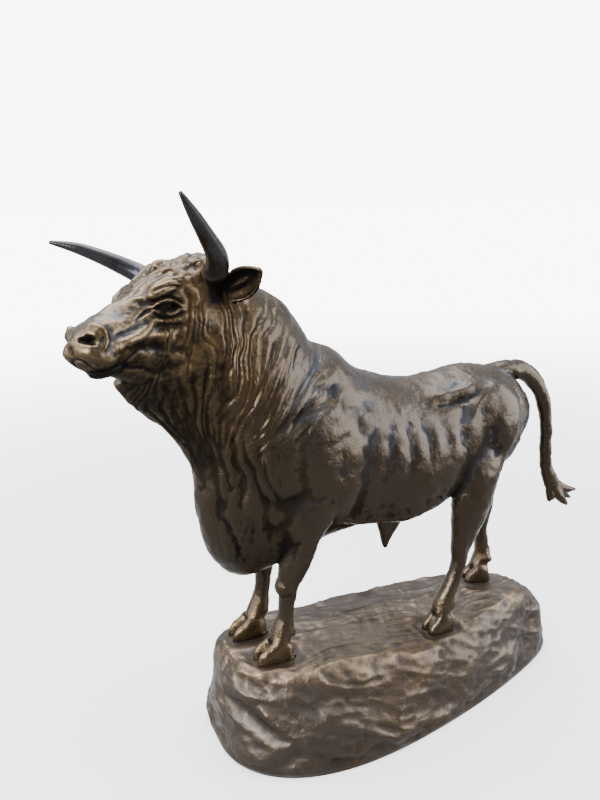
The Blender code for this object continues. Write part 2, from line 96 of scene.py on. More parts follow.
# Ribs of the head: forward place, top, underside, half-width, level of the
# widest place, roundness of the upper and lower half
HEAD_RIBS = [
    (-22, 12, -46, 20, 0.60, 2.0, 2.0),
    (-8, 20, -56, 25, 0.64, 2.2, 2.0),
    (6, 22, -62, 28, 0.68, 2.5, 1.9),
    (20, 21, -62, 28, 0.70, 2.8, 1.9),
    (36, 18, -57, 26, 0.70, 2.7, 1.9),
    (50, 13, -49, 20, 0.66, 2.2, 2.0),
    (62, 9.5, -41, 16.5, 0.60, 2.1, 2.0),
    (74, 6.5, -35, 15.5, 0.56, 2.1, 2.1),
    (85, 4.5, -31.5, 17, 0.54, 2.2, 2.2),
    (94, 2, -30, 17.5, 0.56, 2.3, 2.2),
    (101, -1, -26, 15.5, 0.56, 2.3, 2.2),
    (105.5, -5, -19, 10, 0.5, 2.0, 2.0),
]

# Limbs as (x, y, z, radius fore and aft, radius sideways)
FORELEG = [
    (-92, -30, 160, 26, 17),
    (-97, -34, 132, 20, 17),
    (-105, -34, 112, 12.5, 14),
    (-109, -30, 95, 12, 12),
    (-114, -25, 77, 11.5, 11),
    (-117, -23, 65, 9, 9.2),
    (-118.5, -22, 50, 6.8, 7),
    (-120, -21.5, 36, 6.5, 7),
    (-122, -21.5, 26, 8.5, 8.5),
    (-127, -21.5, 14, 8.5, 9),
]
HINDLEG = [
    (73, -22, 162, 29, 14),
    (60, -28, 135, 23.5, 17),
    (55, -30, 112, 19.5, 15),
    (52, -29, 92, 17.5, 12),
    (49, -27, 73, 12.5, 9),
    (46, -26, 60, 9, 8),
    (44.5, -26, 46, 6.5, 7),
    (38.5, -26, 30, 6.6, 7),
    (31, -26, 14, 8.2, 8.2),
    (26, -26, 0, 8.5, 9),
]
FAR_HINDLEG = [
    (80, 22, 166, 26, 14),
    (88, 28, 136, 28, 17),
    (96, 29, 112, 23, 15),
    (102, 27, 92, 17, 12),
    (108, 25, 74, 12, 9),
    (107, 24, 62, 9, 8),
    (106, 24, 48, 6.5, 7),
    (107.5, 24, 30, 6.5, 7),
    (109, 24, 17, 8.2, 8.2),
    (104, 24, 5, 8.5, 9),
]

# A claw from just under its sole, where it is cut level, to its top: height
# over the sole in claw heights, front and rear end in foot lengths behind the
# toe, half-width
CLAW_HEIGHT = 15
CLAW = [
    (-0.30, 0.0, 1.0, 5.2),
    (0.0, 0.0, 1.0, 5.2),
    (0.25, 0.08, 1.0, 5.1),
    (0.5, 0.20, 0.98, 4.9),
    (0.8, 0.34, 0.94, 4.9),
    (1.0, 0.42, 0.92, 4.2),
]
CLAW_ASIDE = 5.5

# Feet as (toe x, heel x, middle y, sole z, turn outwards in degrees)
FEET = {
    "left_fore": (-148, -114, -21.5, 0.0, 0.0),
    "right_fore": (-154, -121, 21.5, 0.0, 0.0),
    "left_hind": (11, 37, -26, -14.0, 0.0),
    "right_hind": (89, 115, 24, -7.0, 18.0),
}

TAIL = [
    (84, 0, 202, 12, 10),
    (104, 0, 206.5, 10.5, 9),
    (124, -1, 206, 9, 7.5),
    (140, -2, 194, 7.8, 6.8),
    (151, -3, 174, 6.6, 6),
    (156, -3, 150, 5.8, 5.4),
    (157, -3, 124, 5.6, 5.2),
    (160, -3, 106, 6.0, 5.2),
    (166, -3, 92, 8.0, 5.6),
    (170, -3, 84, 7.0, 4.5),
]
TUFT_TIPS = [(196, 79, -2), (195, 69, 3), (183, 67, -5), (172, 71, 2), (162, 73, -3)]

# Masses of the head in its own frame: centre, radii and pitch in degrees, first
# the single ones, then those on both sides; the jaw is a tube
POLL_AND_CHIN = [
    ((0, 0, 15), (20, 26, 8)),
    ((15, -5, 16), (15, 20, 8)),
    ((86, 0, -28.5), (14.5, 10, 6.6)),
]
HEAD_MASSES = [
    ((35, 20, 8), (17, 8, 6.5), 10),
    ((42, 20, -3), (8, 6.2, 6), 0),
    ((10, 18, -26), (24, 12, 22), -20),
    ((62, 13, -13), (24, 6, 5), 6),
    ((94, 11.5, -5), (7, 6.5, 6), 0),
    ((28, 12, -35), (22, 9, 18), -15),
]
JAW = [(84, -2, -27, 8, 8), (68, -5, -34, 11, 11), (50, -8, -42, 14, 14), (28, -8, -48, 16, 16)]

# Horns in the head's frame: forward, left, up, radius
HORN = [
    (2, 16, 9, 9.0),
    (0, 27, 6, 8.8),
    (3, 37, 10, 8.2),
    (9, 46, 19, 7.2),
    (21, 55, 32.5, 5.6),
    (35, 65, 47, 4.0),
    (50, 76, 61, 1.5),
]
FAR_HORN = [
    (2, -16, 9, 9.0),
    (0, -27, 7, 8.8),
    (3, -37, 11.5, 8.2),
    (9, -46, 21, 7.2),
    (21, -55, 34, 5.8),
    (35, -64, 46.5, 4.2),
    (49, -74, 56, 1.5),
]

# Muscles of the body on both sides: shoulder, upper arm, haunch
MUSCLES = [
    ((-92, 33, 168), (40, 21, 58), -14),
    ((-104, 35, 130), (22, 15.5, 32), 12),
    ((74, 24, 168), (33, 19, 40), -4),
]
KNEES = [((-119, -23, 63), (9.5, 9.5, 10)), ((-122, 23, 63), (9.5, 9.5, 10))]
PURSE = ((78, 0, 112), (10, 11, 17))
SHEATH = [
    (-10, 0, 100, 15, 8),
    (-12, 0, 85, 11.5, 6.5),
    (-14, 0, 74, 6, 4.5),
    (-15, 0, 62, 1.6, 1.4),
]

# Modelling of the body, drawn in side view as x, z points with half-width and
# depth in units: a positive depth is a groove, a negative one a ridge
BODY_STROKES = [
    ([(-156, 290), (-166, 262), (-168, 238), (-166, 202)], 4.5, 2.6),
    ([(-126, 263), (-138, 241), (-150, 220)], 2.4, 1.8),
    ([(-98, 258), (-120, 238), (-136, 219), (-147, 198)], 3.6, 2.0),
    ([(-90, 253), (-112, 234), (-127, 216), (-140, 196)], 1.8, 1.4),
    ([(-82, 247), (-104, 230), (-119, 215), (-131, 198)], 3.8, 2.0),
    ([(-68, 226), (-103, 210), (-122, 203), (-136, 192)], 4.5, 2.4),
    ([(-112, 262), (-130, 242), (-144, 218)], 1.8, 1.2),
    ([(-184, 292), (-186, 268), (-189, 243), (-184, 210)], 2.4, 1.8),
    ([(-174, 289), (-177, 263), (-180, 239), (-179, 208), (-175, 180)], 2.4, 1.8),
    ([(-193, 268), (-199, 249), (-195, 228), (-186, 199)], 2.2, 1.6),
    ([(-205, 262), (-210, 246), (-205, 230)], 2.2, 1.4),
    ([(-80, 190), (-79, 176), (-82, 159), (-90, 144)], 7.0, 1.5),
    ([(-154, 176), (-147, 152), (-126, 142), (-103, 146)], 8.0, 2.0),
    ([(-176, 178), (-172, 150), (-166, 122), (-154, 92)], 2.4, 1.8),
    ([(-162, 196), (-160, 170), (-156, 140)], 2.2, 1.4),
    ([(12, 200), (38, 202), (60, 206)], 3.0, -3.4),
    ([(16, 194), (38, 195), (57, 199)], 1.9, 3.4),
    ([(60, 203), (51, 189), (36, 174)], 4.0, -2.0),
    ([(33, 190), (38, 186), (37, 178)], 8.0, 2.4),
    ([(-47, 188), (-55, 169), (-59, 147)], 4.2, 1.7),
    ([(-33, 186), (-37, 165), (-43, 142)], 4.2, 1.9),
    ([(-18, 188), (-17, 170), (-22, 148)], 4.2, 1.8),
    ([(-4, 190), (0, 171), (-1, 150)], 4.2, 1.6),
    ([(12, 190), (17, 172), (17, 150)], 4.2, 1.2),
    ([(73, 193), (67, 169), (75, 150), (62, 134)], 7.0, 1.8),
    ([(33, 176), (38, 158), (38, 140), (33, 122)], 6.5, 2.0),
    ([(100, 190), (98, 170), (92, 150), (84, 132)], 3.5, 1.2),
    ([(-80, 118), (-50, 107), (-10, 108), (24, 120)], 3.2, -2.2),
    ([(-84, 112), (-52, 101), (-12, 101), (26, 113)], 2.4, 2.2),
    ([(-116, 108), (-118, 90), (-116, 74)], 2.0, 1.0),
    ([(48, 84), (50, 66), (47, 50)], 2.0, 1.0),
    ([(98, 84), (110, 68), (108, 50)], 2.0, 1.0),
]

# Modelling of the head: points forward, left and up in the head's frame, the
# same on both sides, with half-width and depth
HEAD_STROKES = [
    ([(104, 5, -5), (103, 10, -5.5), (101, 14, -7.5), (98, 16.5, -10)], 1.5, 4.5),
    ([(101, 6, 0.5), (95, 12, 1), (91.5, 16.5, -4), (91.5, 17.5, -10), (96, 16, -15)], 1.8, -2.2),
    ([(90, 11, 4), (86, 15.5, -3), (86, 17, -10), (91, 17, -17)], 2.6, 0.9),
    ([(107, 0, -16), (105, 6, -19), (102, 8, -25), (97, 9, -29), (90, 11, -30),
      (79, 11, -29.5)], 1.1, 2.0),
    ([(107, 4, -10), (103, 12, -15), (96, 15, -21), (86, 15, -25)], 3.6, -1.8),
    ([(79, 11, -29), (74, 12, -27), (70, 12, -25)], 1.4, 1.2),
    ([(86, 16, -16), (66, 16, -17), (46, 21, -21)], 3.0, -2.2),
    ([(84, 17, -11), (72, 17.5, -11), (60, 18, -10)], 2.4, 1.8),
    ([(74, 14, -23), (60, 15, -26), (48, 18, -31)], 3.6, 1.8),
    ([(55, 17.5, -7), (47, 22, -11), (39, 24.5, -12.6), (32, 26, -12.4)], 1.3, 1.2),
    ([(53, 18, -13), (45, 22, -17.5), (36, 24, -19)], 2.6, 1.8),
    ([(52, 18.5, -3), (57, 17, -3.5), (64, 16, -6)], 1.4, 2.0),
    ([(51, 21, 7.5), (45, 26, 9), (37, 28, 8), (30, 28, 4)], 1.1, 1.1),
    ([(50, 18, 10.5), (43, 25, 12.5), (34, 27.5, 11.5), (26, 27, 7)], 1.2, 1.0),
    ([(57, 11, 8), (52, 17, 5), (50, 20, 9), (44, 22, 14)], 1.8, -1.6),
    ([(22, 28, 4), (20, 28.5, -4), (24, 28, -11)], 3.6, -1.2),
    ([(28, 27, 4), (26, 28, -6), (30, 27, -14)], 1.8, 1.3),
    ([(88, 0, 6), (88, 8, 4.5), (85, 13, 1)], 1.5, 0.8),
    ([(80, 0, 7), (80, 8, 5.5), (77, 13, 2)], 1.5, 0.6),
    ([(66, 0, 9), (50, 0, 13), (34, 0, 18)], 4.0, 1.0),
]

# Swellings (negative) and hollows (positive) of the head: place, radii, depth
HEAD_DENTS = [
    ((101.5, 12, -6.5), (3.2, 4.5, 3.0), 3.0),
    ((70, 12, 2), (10, 6, 6), 1.8),
    ((50, 20, -17), (9, 6, 4.5), 1.8),
    ((53, 15, 1), (4, 4, 4), 1.4),
    ((80, 14, -19), (9, 6, 6), -1.6),
    ((72, 13, -32), (9, 6, 5), 1.4),
    ((100, 0, -6), (5, 3.5, 8), 1.2),
]


def through(points, count):
    """Rows on a Catmull-Rom curve, a cubic in each gap, through given rows."""
    p = np.asarray(points, float)
    ends = np.vstack([2 * p[0] - p[1], p, 2 * p[-1] - p[-2]])
    t = np.linspace(0, len(p) - 1, count)
    i = np.minimum(t.astype(int), len(p) - 2)
    f = (t - i)[:, None]
    a, b, c, d = ends[i], ends[i + 1], ends[i + 2], ends[i + 3]
    return 0.5 * (2 * b + (c - a) * f + (2 * a - 5 * b + 4 * c - d) * f ** 2
                  + (3 * b - a - 3 * c + d) * f ** 3)


def skin_over(rings):
    """A closed skin over a grid of points (ring, place on ring), with a fan at each end."""
    m, n, _ = rings.shape
    caps = np.stack([rings[0].mean(axis=0), rings[-1].mean(axis=0)])
    verts = np.vstack([rings.reshape(-1, 3), caps])
    row, ring = np.meshgrid(np.arange(m - 1) * n, np.arange(n), indexing="ij")
    following = (ring + 1) % n
    quads = np.stack([row + ring, row + following, row + n + following, row + n + ring], axis=-1)
    first, last = np.arange(n), (np.arange(n) + 1) % n
    low = np.stack([np.full(n, m * n), last, first], axis=1)
    high = np.stack([np.full(n, m * n + 1), (m - 1) * n + first, (m - 1) * n + last], axis=1)
    return verts, quads.reshape(-1, 4), np.vstack([low, high])


def unit(vector):
    """The vector at length 1."""
    return vector / np.linalg.norm(vector)


def signed_power(values, power):
    """Each value's size raised to a power, with its sign kept."""
    return np.sign(values) * np.abs(values) ** power


def ribbed(top, bottom, half_width, level, upper, lower, around):
    """Rings |side/w|^p + |rise/h|^p = 1 between a top and a bottom point each."""
    angle = np.linspace(0, 2 * np.pi, around, endpoint=False)[None, :]
    across, along = np.sin(angle), np.cos(angle)
    power = np.where(along >= 0, 2 / upper[:, None], 2 / lower[:, None])
    centre = bottom + (top - bottom) * level[:, None]
    rise = np.where(along >= 0, 1 - level[:, None], level[:, None]) * signed_power(along, power)
    side = half_width[:, None] * signed_power(across, power)
    return skin_over(centre[:, None] + rise[..., None] * (top - bottom)[:, None]
                     + side[..., None] * np.array([0.0, 1.0, 0.0]))


def tube(stations, count=60, around=28, forward=(1, 0, 0)):
    """Ellipses cos, sin of two radii, square to a curve through the stations."""
    rows = through(stations, count)
    points = rows[:, :3]
    radii = rows[:, 3:] if rows.shape[1] > 4 else np.repeat(rows[:, 3:], 2, axis=1)
    along = np.gradient(points, axis=0)
    along /= np.linalg.norm(along, axis=1, keepdims=True)
    second = np.cross(along, np.asarray(forward, float))
    second /= np.linalg.norm(second, axis=1, keepdims=True)
    first = np.cross(second, along)
    angle = np.linspace(0, 2 * np.pi, around, endpoint=False)
    ring = (radii[:, :1] * np.cos(angle))[..., None] * first[:, None]
    ring = ring + (radii[:, 1:] * np.sin(angle))[..., None] * second[:, None]
    return skin_over(points[:, None] + ring)


def swelling(centre, radii, pitch=0.0):
    """An ellipsoid: a sphere by its polar angle and longitude, scaled and tipped about Y."""
    polar = np.linspace(0.08, np.pi - 0.08, 24)[:, None]
    angle = np.linspace(0, 2 * np.pi, 36, endpoint=False)[None]
    ball = np.stack([np.cos(polar) + 0 * angle, np.sin(polar) * np.cos(angle),
                     np.sin(polar) * np.sin(angle)], axis=-1) * np.asarray(radii, float)
    p = np.radians(pitch)
    tip = np.array([[np.cos(p), 0, np.sin(p)], [0, 1, 0], [-np.sin(p), 0, np.cos(p)]])
    return skin_over(ball @ tip.T + np.asarray(centre, float))


def both_sides(skin):
    """A skin and its mirror image across the middle plane."""
    verts, quads, fans = skin
    return [skin, (verts * (1, -1, 1), quads[:, ::-1], fans[:, ::-1])]


def head_axes():
    """Forward, left and up of the head in the figure's frame, one row each."""
    turn, drop, tilt = np.radians([HEAD_TURN, HEAD_DROP, HEAD_TILT])
    forward = np.array([-np.cos(turn) * np.cos(drop), -np.sin(turn) * np.cos(drop), -np.sin(drop)])
    left = np.array([np.sin(turn), -np.cos(turn), 0.0])
    up = np.cross(forward, left)
    return np.array([forward, left * np.cos(tilt) + up * np.sin(tilt),
                     up * np.cos(tilt) - left * np.sin(tilt)])


def head_to_figure(skin):
    """A skin drawn in the head's frame, carried to the figure's."""
    verts, quads, fans = skin
    return np.asarray(HEAD_PLACE, float) + verts @ head_axes(), quads, fans


def trunk_and_neck():
    """The body's skin, from the jaw to the tail."""
    r = through(TRUNK_RIBS, 200)
    top = np.stack([r[:, 0], r[:, 8], r[:, 1]], axis=1)
    bottom = np.stack([r[:, 2], r[:, 9], r[:, 3]], axis=1)
    return ribbed(top, bottom, *r[:, 4:8].T, 120)


def ear():
    """A leaf of width w(t) along t, bent across by r (sin a, cos a) round its open inside."""
    length, width, wall, curl = 40.0, 11.0, 2.0, 1.25
    along = np.linspace(0, 1, 40)[:, None]
    across = np.linspace(-1, 1, 31)[None]
    half = width * (0.40 + 0.60 * np.sin(np.pi * along ** 1.2)) * (1 - along ** 6) ** 0.5
    half = np.maximum(half, 1.2)
    angle = across * curl
    root, out = np.array([-4.0, 22.0, -13.0]), unit(np.array([-0.28, 0.93, 0.34]))
    upward = np.array([0.10, -0.10, 1.0])
    upward = unit(upward - out * (upward @ out))
    open_side = np.cross(upward, out)
    open_side = open_side * np.sign(open_side[0])

    def leaf(depth):
        """One side of the leaf, a depth away from the middle of its wall."""
        reach = half + depth
        rise = reach * np.sin(angle) / np.sin(curl)
        bend = -reach * (np.cos(angle) - np.cos(curl)) * 0.8 - depth
        return (root + (along * length)[..., None] * out + rise[..., None] * upward
                + bend[..., None] * open_side)

    back, front = leaf(wall / 2), leaf(-wall / 2)[:, ::-1]
    inner = [(*(root + out * t * length + upward * (1.5 - 2 * t) - open_side * 5.0), r)
             for t, r in ((0.15, 2.4), (0.45, 2.6), (0.75, 1.6), (0.92, 0.8))]
    return [skin_over(np.concatenate([back, front], axis=1)), tube(inner, 24, 14, (0, 0, 1))]


def head():
    """Skull, poll, chin, jaw, brows, eyes, cheeks, nostrils, horns and ears."""
    r = through(HEAD_RIBS, 140)
    zero = np.zeros(len(r))
    top, bottom = (np.stack([r[:, 0], zero, r[:, k]], axis=1) for k in (1, 2))
    skins = [ribbed(top, bottom, *r[:, 3:].T, 90)]
    skins += [swelling(*mass) for mass in POLL_AND_CHIN] + [tube(JAW, 30)]
    for mass in HEAD_MASSES:
        skins += both_sides(swelling(*mass))
    skins += [tube(rows, 60, 28, (0, 0, 1)) for rows in (HORN, FAR_HORN)]
    for skin in ear():
        skins += both_sides(skin)
    return [head_to_figure(skin) for skin in skins]


def foot(toe, heel, y, sole, turn):
    """Two claws side by side with dew claws behind, turned about the foot's middle."""
    skins = []
    length = heel - toe
    angle = np.radians(turn)
    pivot = np.array([(toe + heel) / 2, y, 0.0])
    cos, sin = np.cos(angle), np.sin(angle)
    about_z = np.array([[cos, sin, 0], [-sin, cos, 0], [0, 0, 1]])
    for aside in (y - CLAW_ASIDE, y + CLAW_ASIDE):
        rows = []
        for rise, front, rear, half in CLAW:
            a, b = toe + front * length, toe + rear * length
            rows.append(((a + b) / 2, aside, sole + rise * CLAW_HEIGHT, (b - a) / 2, half))
        skins.append(tube(rows, 24, 32))
        skins.append(swelling((toe + 0.86 * length, aside, sole + 23), (5, 3.6, 4), 35))
    return [((verts - pivot) @ about_z.T + pivot, quads, fans) for verts, quads, fans in skins]


def tuft():
    """The tail's end: pointed locks that spread from one root."""
    root = np.array(TAIL[-2][:3], float)
    skins = []
    for x, z, aside in TUFT_TIPS:
        tip = np.array([x, root[1] + aside, z], float)
        middle = (root + tip) / 2 + (0, aside * 0.3, -3)
        skins.append(tube([(*root, 6, 4.5), (*middle, 4.8, 4), (*tip, 1.2, 1.2)], 20, 18))
    return skins


def legs():
    """The four legs, each down to its pastern, with the knees; the far forefoot stands 6 ahead."""
    right_fore = [(x - 6 * max(0.0, 1 - z / 130.0), -y, z, a, b) for x, y, z, a, b in FORELEG]
    limbs = (FORELEG, right_fore, HINDLEG, FAR_HINDLEG)
    return [tube(rows, 90, 36) for rows in limbs] + [swelling(*knee) for knee in KNEES]


def muscles():
    """Shoulders, upper arms, haunches, sheath and purse."""
    skins = []
    for mass in MUSCLES:
        skins += both_sides(swelling(*mass))
    return skins + [tube(SHEATH, 30, 24), swelling(*PURSE)]


def hashed(i, j, k, seed):
    """A fixed number from -1 to 1 for each whole-number point of a lattice."""
    mix = i * 73856093 ^ j * 19349663 ^ k * 83492791 ^ seed * 2654435
    mix = (mix ^ (mix >> 13)) * 1274126177 & 0xFFFFFFFF
    return ((mix ^ (mix >> 16)) & 0xFFFF) / 32767.5 - 1


def cloud(points, size, seed=0):
    """Value noise: lattice numbers a size apart, mixed by f * f * (3 - 2 f) on each axis."""
    q = points / size
    cell = np.floor(q).astype(np.int64)
    f = q - cell
    f = f * f * (3 - 2 * f)
    total = 0.0
    for corner in range(8):
        di, dj, dk = corner & 1, corner >> 1 & 1, corner >> 2 & 1
        share = (np.where(di, f[:, 0], 1 - f[:, 0]) * np.where(dj, f[:, 1], 1 - f[:, 1])
                 * np.where(dk, f[:, 2], 1 - f[:, 2]))
        total = total + share * hashed(cell[:, 0] + di, cell[:, 1] + dj, cell[:, 2] + dk, seed)
    return total


def ramp(values, low, high):
    """0 below low, 1 above high, and a smooth step between."""
    t = np.clip((values - low) / (high - low), 0, 1)
    return t * t * (3 - 2 * t)


def stroked(places, strokes, weights):
    """Depth of each stroke's groove: depth * exp(-(distance / width)^2), faded at its ends."""
    depth = np.zeros(len(places))
    weights = np.asarray(weights, float)
    for points, width, most in strokes:
        line = through(points, 14 * len(points)) * weights
        low, high = line.min(axis=0) - 3 * width, line.max(axis=0) + 3 * width
        near = np.nonzero(((places > low) & (places < high)).all(axis=1))[0]
        if not len(near):
            continue
        gaps = ((places[near][:, None] - line[None]) ** 2).sum(axis=2)
        closest = gaps.argmin(axis=1)
        fade = np.sin(np.pi * (closest + 1) / (len(line) + 1)) ** 0.5
        depth[near] += most * fade * np.exp(-gaps.min(axis=1) / width ** 2)
    return depth


def creases(across, along, seed, sharp=0.35):
    """Folds from stretched noise: broad swells, and a narrow crease where the noise is 0."""
    field = np.column_stack([across, along, np.full(len(across), 0.5 * seed)])
    n = cloud(field, 1.0, seed) + 0.45 * cloud(field * 2.3, 1.0, seed + 1)
    return np.clip(1 - np.abs(n) / sharp, 0, 1) ** 1.5 + 0.45 * n


def folds(across, along, seed, sharp=0.42):
    """Long parallel folds: creases exp(-(sin(pi phase) / sharp)^2) of a wandering phase."""
    field = np.column_stack([0.45 * across, along, np.full(len(across), 0.5 * seed)])
    phase = across + 1.5 * cloud(field, 1.0, seed)
    strength = np.clip(0.55 + 0.95 * cloud(field * 1.3, 1.0, seed + 1), 0, 1.3)
    return strength * (np.exp(-(np.sin(np.pi * phase) / sharp) ** 2) - 0.35)


def mesh_arrays(mesh):
    """Places and normals of a mesh's vertices, and its edges."""
    count = len(mesh.vertices)
    places, normals = np.empty(count * 3), np.empty(count * 3)
    mesh.vertices.foreach_get("co", places)
    mesh.vertices.foreach_get("normal", normals)
    edges = np.empty(len(mesh.edges) * 2, np.int64)
    mesh.edges.foreach_get("vertices", edges)
    return places.reshape(-1, 3), normals.reshape(-1, 3), edges.reshape(-1, 2)


def relief_at(places, normals, edges, rounds):
    """How far each point stands above its surroundings, averaged over some rounds of neighbours."""
    count = len(places)
    a, b = edges[:, 0], edges[:, 1]
    degree = np.bincount(a, minlength=count) + np.bincount(b, minlength=count)
    mean = places.copy()
    for _ in range(rounds):
        total = np.stack([np.bincount(a, mean[b, k], count) + np.bincount(b, mean[a, k], count)
                          for k in range(3)], axis=1)
        mean = total / degree[:, None]
    return ((places - mean) * normals).sum(axis=1)


def put_attribute(mesh, name, values):
    """A number for each vertex, under a name that the material reads."""
    layer = mesh.attributes.new(name, "FLOAT", "POINT")
    layer.data.foreach_set("value", np.asarray(values, np.float32))


def new_mesh(name, skins):
    """One mesh from several skins."""
    verts, faces, start = [], [], 0
    for points, quads, fans in skins:
        verts.append(points)
        faces += (quads + start).tolist() + (fans + start).tolist()
        start += len(points)
    mesh = bpy.data.meshes.new(name)
    mesh.from_pydata(np.vstack(verts).tolist(), [], faces)
    return mesh


def add_piece(name, mesh, material, node):
    """An object that stands for a CAD node and rides on the one body."""
    mesh.materials.clear()
    mesh.materials.append(material)
    mesh.polygons.foreach_set("use_smooth", np.ones(len(mesh.polygons), bool))
    obj = bpy.data.objects.new(name, mesh)
    bpy.context.collection.objects.link(obj)
    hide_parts(node)
    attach(obj, "root")
    return obj


def modified(mesh, *steps, weights=None):
    """The mesh as a stack of modifiers leaves it; each step is (type, settings)."""
    obj = bpy.data.objects.new("work", mesh)
    bpy.context.collection.objects.link(obj)
    if weights is not None:
        obj.vertex_groups.clear()
        group = obj.vertex_groups.new(name=GROUP)
        levels = np.round(np.asarray(weights) * 8).astype(int)
        for level in np.unique(levels):
            group.add(np.nonzero(levels == level)[0].tolist(), float(level) / 8, "REPLACE")
    for kind, settings in steps:
        modifier = obj.modifiers.new(kind.lower(), kind)
        for key, value in settings.items():
            setattr(modifier, key, value)
    graph = bpy.context.evaluated_depsgraph_get()
    result = bpy.data.meshes.new_from_object(obj.evaluated_get(graph))
    bpy.data.objects.remove(obj, do_unlink=True)
    return result


def head_frame(points):
    """Figure points in the head's frame: forward, left, up."""
    return (points - np.asarray(HEAD_PLACE, float)) @ head_axes().T


def footprints():
    """Each foot in metres: x and y of its middle, its sole, its length, and its turn in degrees."""
    for toe, heel, y, sole, turn in FEET.values():
        yield (FIGURE_SHIFT + (toe + heel) / 2 * UNIT, y * UNIT, FIGURE_LIFT + sole * UNIT,
               (heel - toe) * UNIT, turn)


def figure_points(places):
    """Places in metres as figure points in units, and the same in the head's frame."""
    points = (places - FIGURE_PLACE) / UNIT
    return points, head_frame(points)


def folded(h):
    """Points of the head, all carried to its left side."""
    return np.column_stack([h[:, 0], np.abs(h[:, 1]), h[:, 2]])


def coat(points, normals):
    """Depth of the hair, skin folds and tool marks at each point, in units."""
    x, y, z = points.T
    side = ramp(np.abs(normals[:, 1]), 0.10, 0.45)
    h = head_frame(points)
    f, l, u = h.T
    face = ramp(f, 8, 26) * ramp(u, -70, -60)
    sway = 0.9 * cloud(points, 26, 3) + 0.45 * cloud(points, 11, 4)
    fan = np.degrees(np.arctan2(z - 165, x + 176)) + 400 * (y > 0)
    reach = np.hypot(x + 176, z - 165)
    neck = ramp(-x, 62, 104) * ramp(reach, 16, 40) * ramp(z, 168, 200) * (1 - face) * side
    depth = 2.1 * neck * folds(fan / 6.4 + 0.6 * sway, reach / 50 + 0.3 * sway, 21, 0.6)
    depth += 0.7 * neck * folds(fan / 2.1 + 0.9 * sway, reach / 34, 23, 0.5)
    throat = ramp(-x, 118, 146) * (1 - ramp(z, 178, 206)) * ramp(z, 72, 92) * side
    lean = (x + 0.30 * z) / 8.5 + 40 * (y > 0)
    depth += 2.0 * throat * folds(lean * 0.85 + 0.6 * sway, z / 44, 25, 0.6)
    depth += 0.7 * throat * folds(lean * 2.3 + 0.9 * sway, z / 28, 27, 0.5)
    jaw = face * (1 - ramp(f, 34, 56)) * (1 - ramp(u, -18, -2))
    beard = ramp(f, 10, 30) * (1 - ramp(f, 72, 84)) * (1 - ramp(u, -40, -28))
    hair = folds((f + 0.25 * u) / 6.0 + 0.8 * sway, u / 26, 29, 0.6)
    depth += 1.1 * np.maximum(jaw, 0.8 * beard) * hair
    poll = ramp(u, 2, 14) * (1 - ramp(f, 26, 44)) * ramp(f, -24, -10)
    poll = poll * (1 - ramp(np.abs(l), 22, 28))
    depth += 2.2 * poll * creases(l / 6.5 + 1.2 * sway, f / 13 + 0.8 * sway, 31, 0.55)
    brow = ramp(f, 22, 34) * (1 - ramp(f, 54, 66)) * ramp(u, 2, 10) * (1 - ramp(np.abs(l), 15, 20))
    depth += 0.9 * brow * creases((f + 0.5 * np.abs(l)) / 8 + sway, l / 12, 33)
    flank = ramp(x, -110, -70) * ramp(z, 80, 105) * (1 - ramp(z, 214, 226)) * side
    depth += 0.35 * flank * folds((x + 0.35 * z) / 7 + 0.9 * sway, (z - 0.35 * x) / 26, 35, 0.5)
    smooth = 1 - 0.6 * np.maximum(neck, throat)
    depth += smooth * (0.50 * cloud(points, 8.5, 7) + 0.36 * cloud(points, 4.2, 8))
    return depth + 0.16 * cloud(points, 2.1, 9)


def eye_depth(h):
    """The eye: a lens 3.7 (1 - (p / 9.5)^2) half-high along its axis p, sunk behind its rims.

    A round ball stands in it, and a fold runs outside the rims.
    """
    corner, rear = np.array([53.0, 18.0, -2.0]), np.array([32.0, 26.5, -8.5])
    middle = (corner + rear) / 2
    axis = unit(rear - corner)
    out = np.array([0.30, 0.95, 0.05])
    out = unit(out - axis * (out @ axis))
    rise = np.cross(out, axis)
    rise = rise * np.sign(rise[2])
    p, q, r = (h - middle) @ axis, (h - middle) @ rise, (h - middle) @ out
    half = 3.7 * np.clip(1 - (p / 9.5) ** 2, 0.0, 1)
    gap = np.abs(q) - half
    near = np.exp(-(p / 11.0) ** 6) * np.exp(-(r / 9.0) ** 4)
    ball = np.clip(1 - ((p + 0.5) ** 2 + q ** 2) / 22.0, 0, 1)
    depth = 3.0 * (1 - ramp(gap, -1.4, 0.3)) - 1.8 * ball ** 0.7 * (gap < 0)
    depth = depth + 0.9 * np.exp(-(((p + 1.0) ** 2 + q ** 2) / 1.6))
    rim = np.where(q > 0, 1.1, 0.6)
    depth = depth - rim * np.exp(-((gap - 1.1) / 1.0) ** 2)
    fold = np.where(q > 0, 1.2, 0.5) * np.exp(-((gap - 3.2) / np.where(q > 0, 0.9, 1.2)) ** 2)
    return (depth + fold) * near * (h[:, 1] > 8)


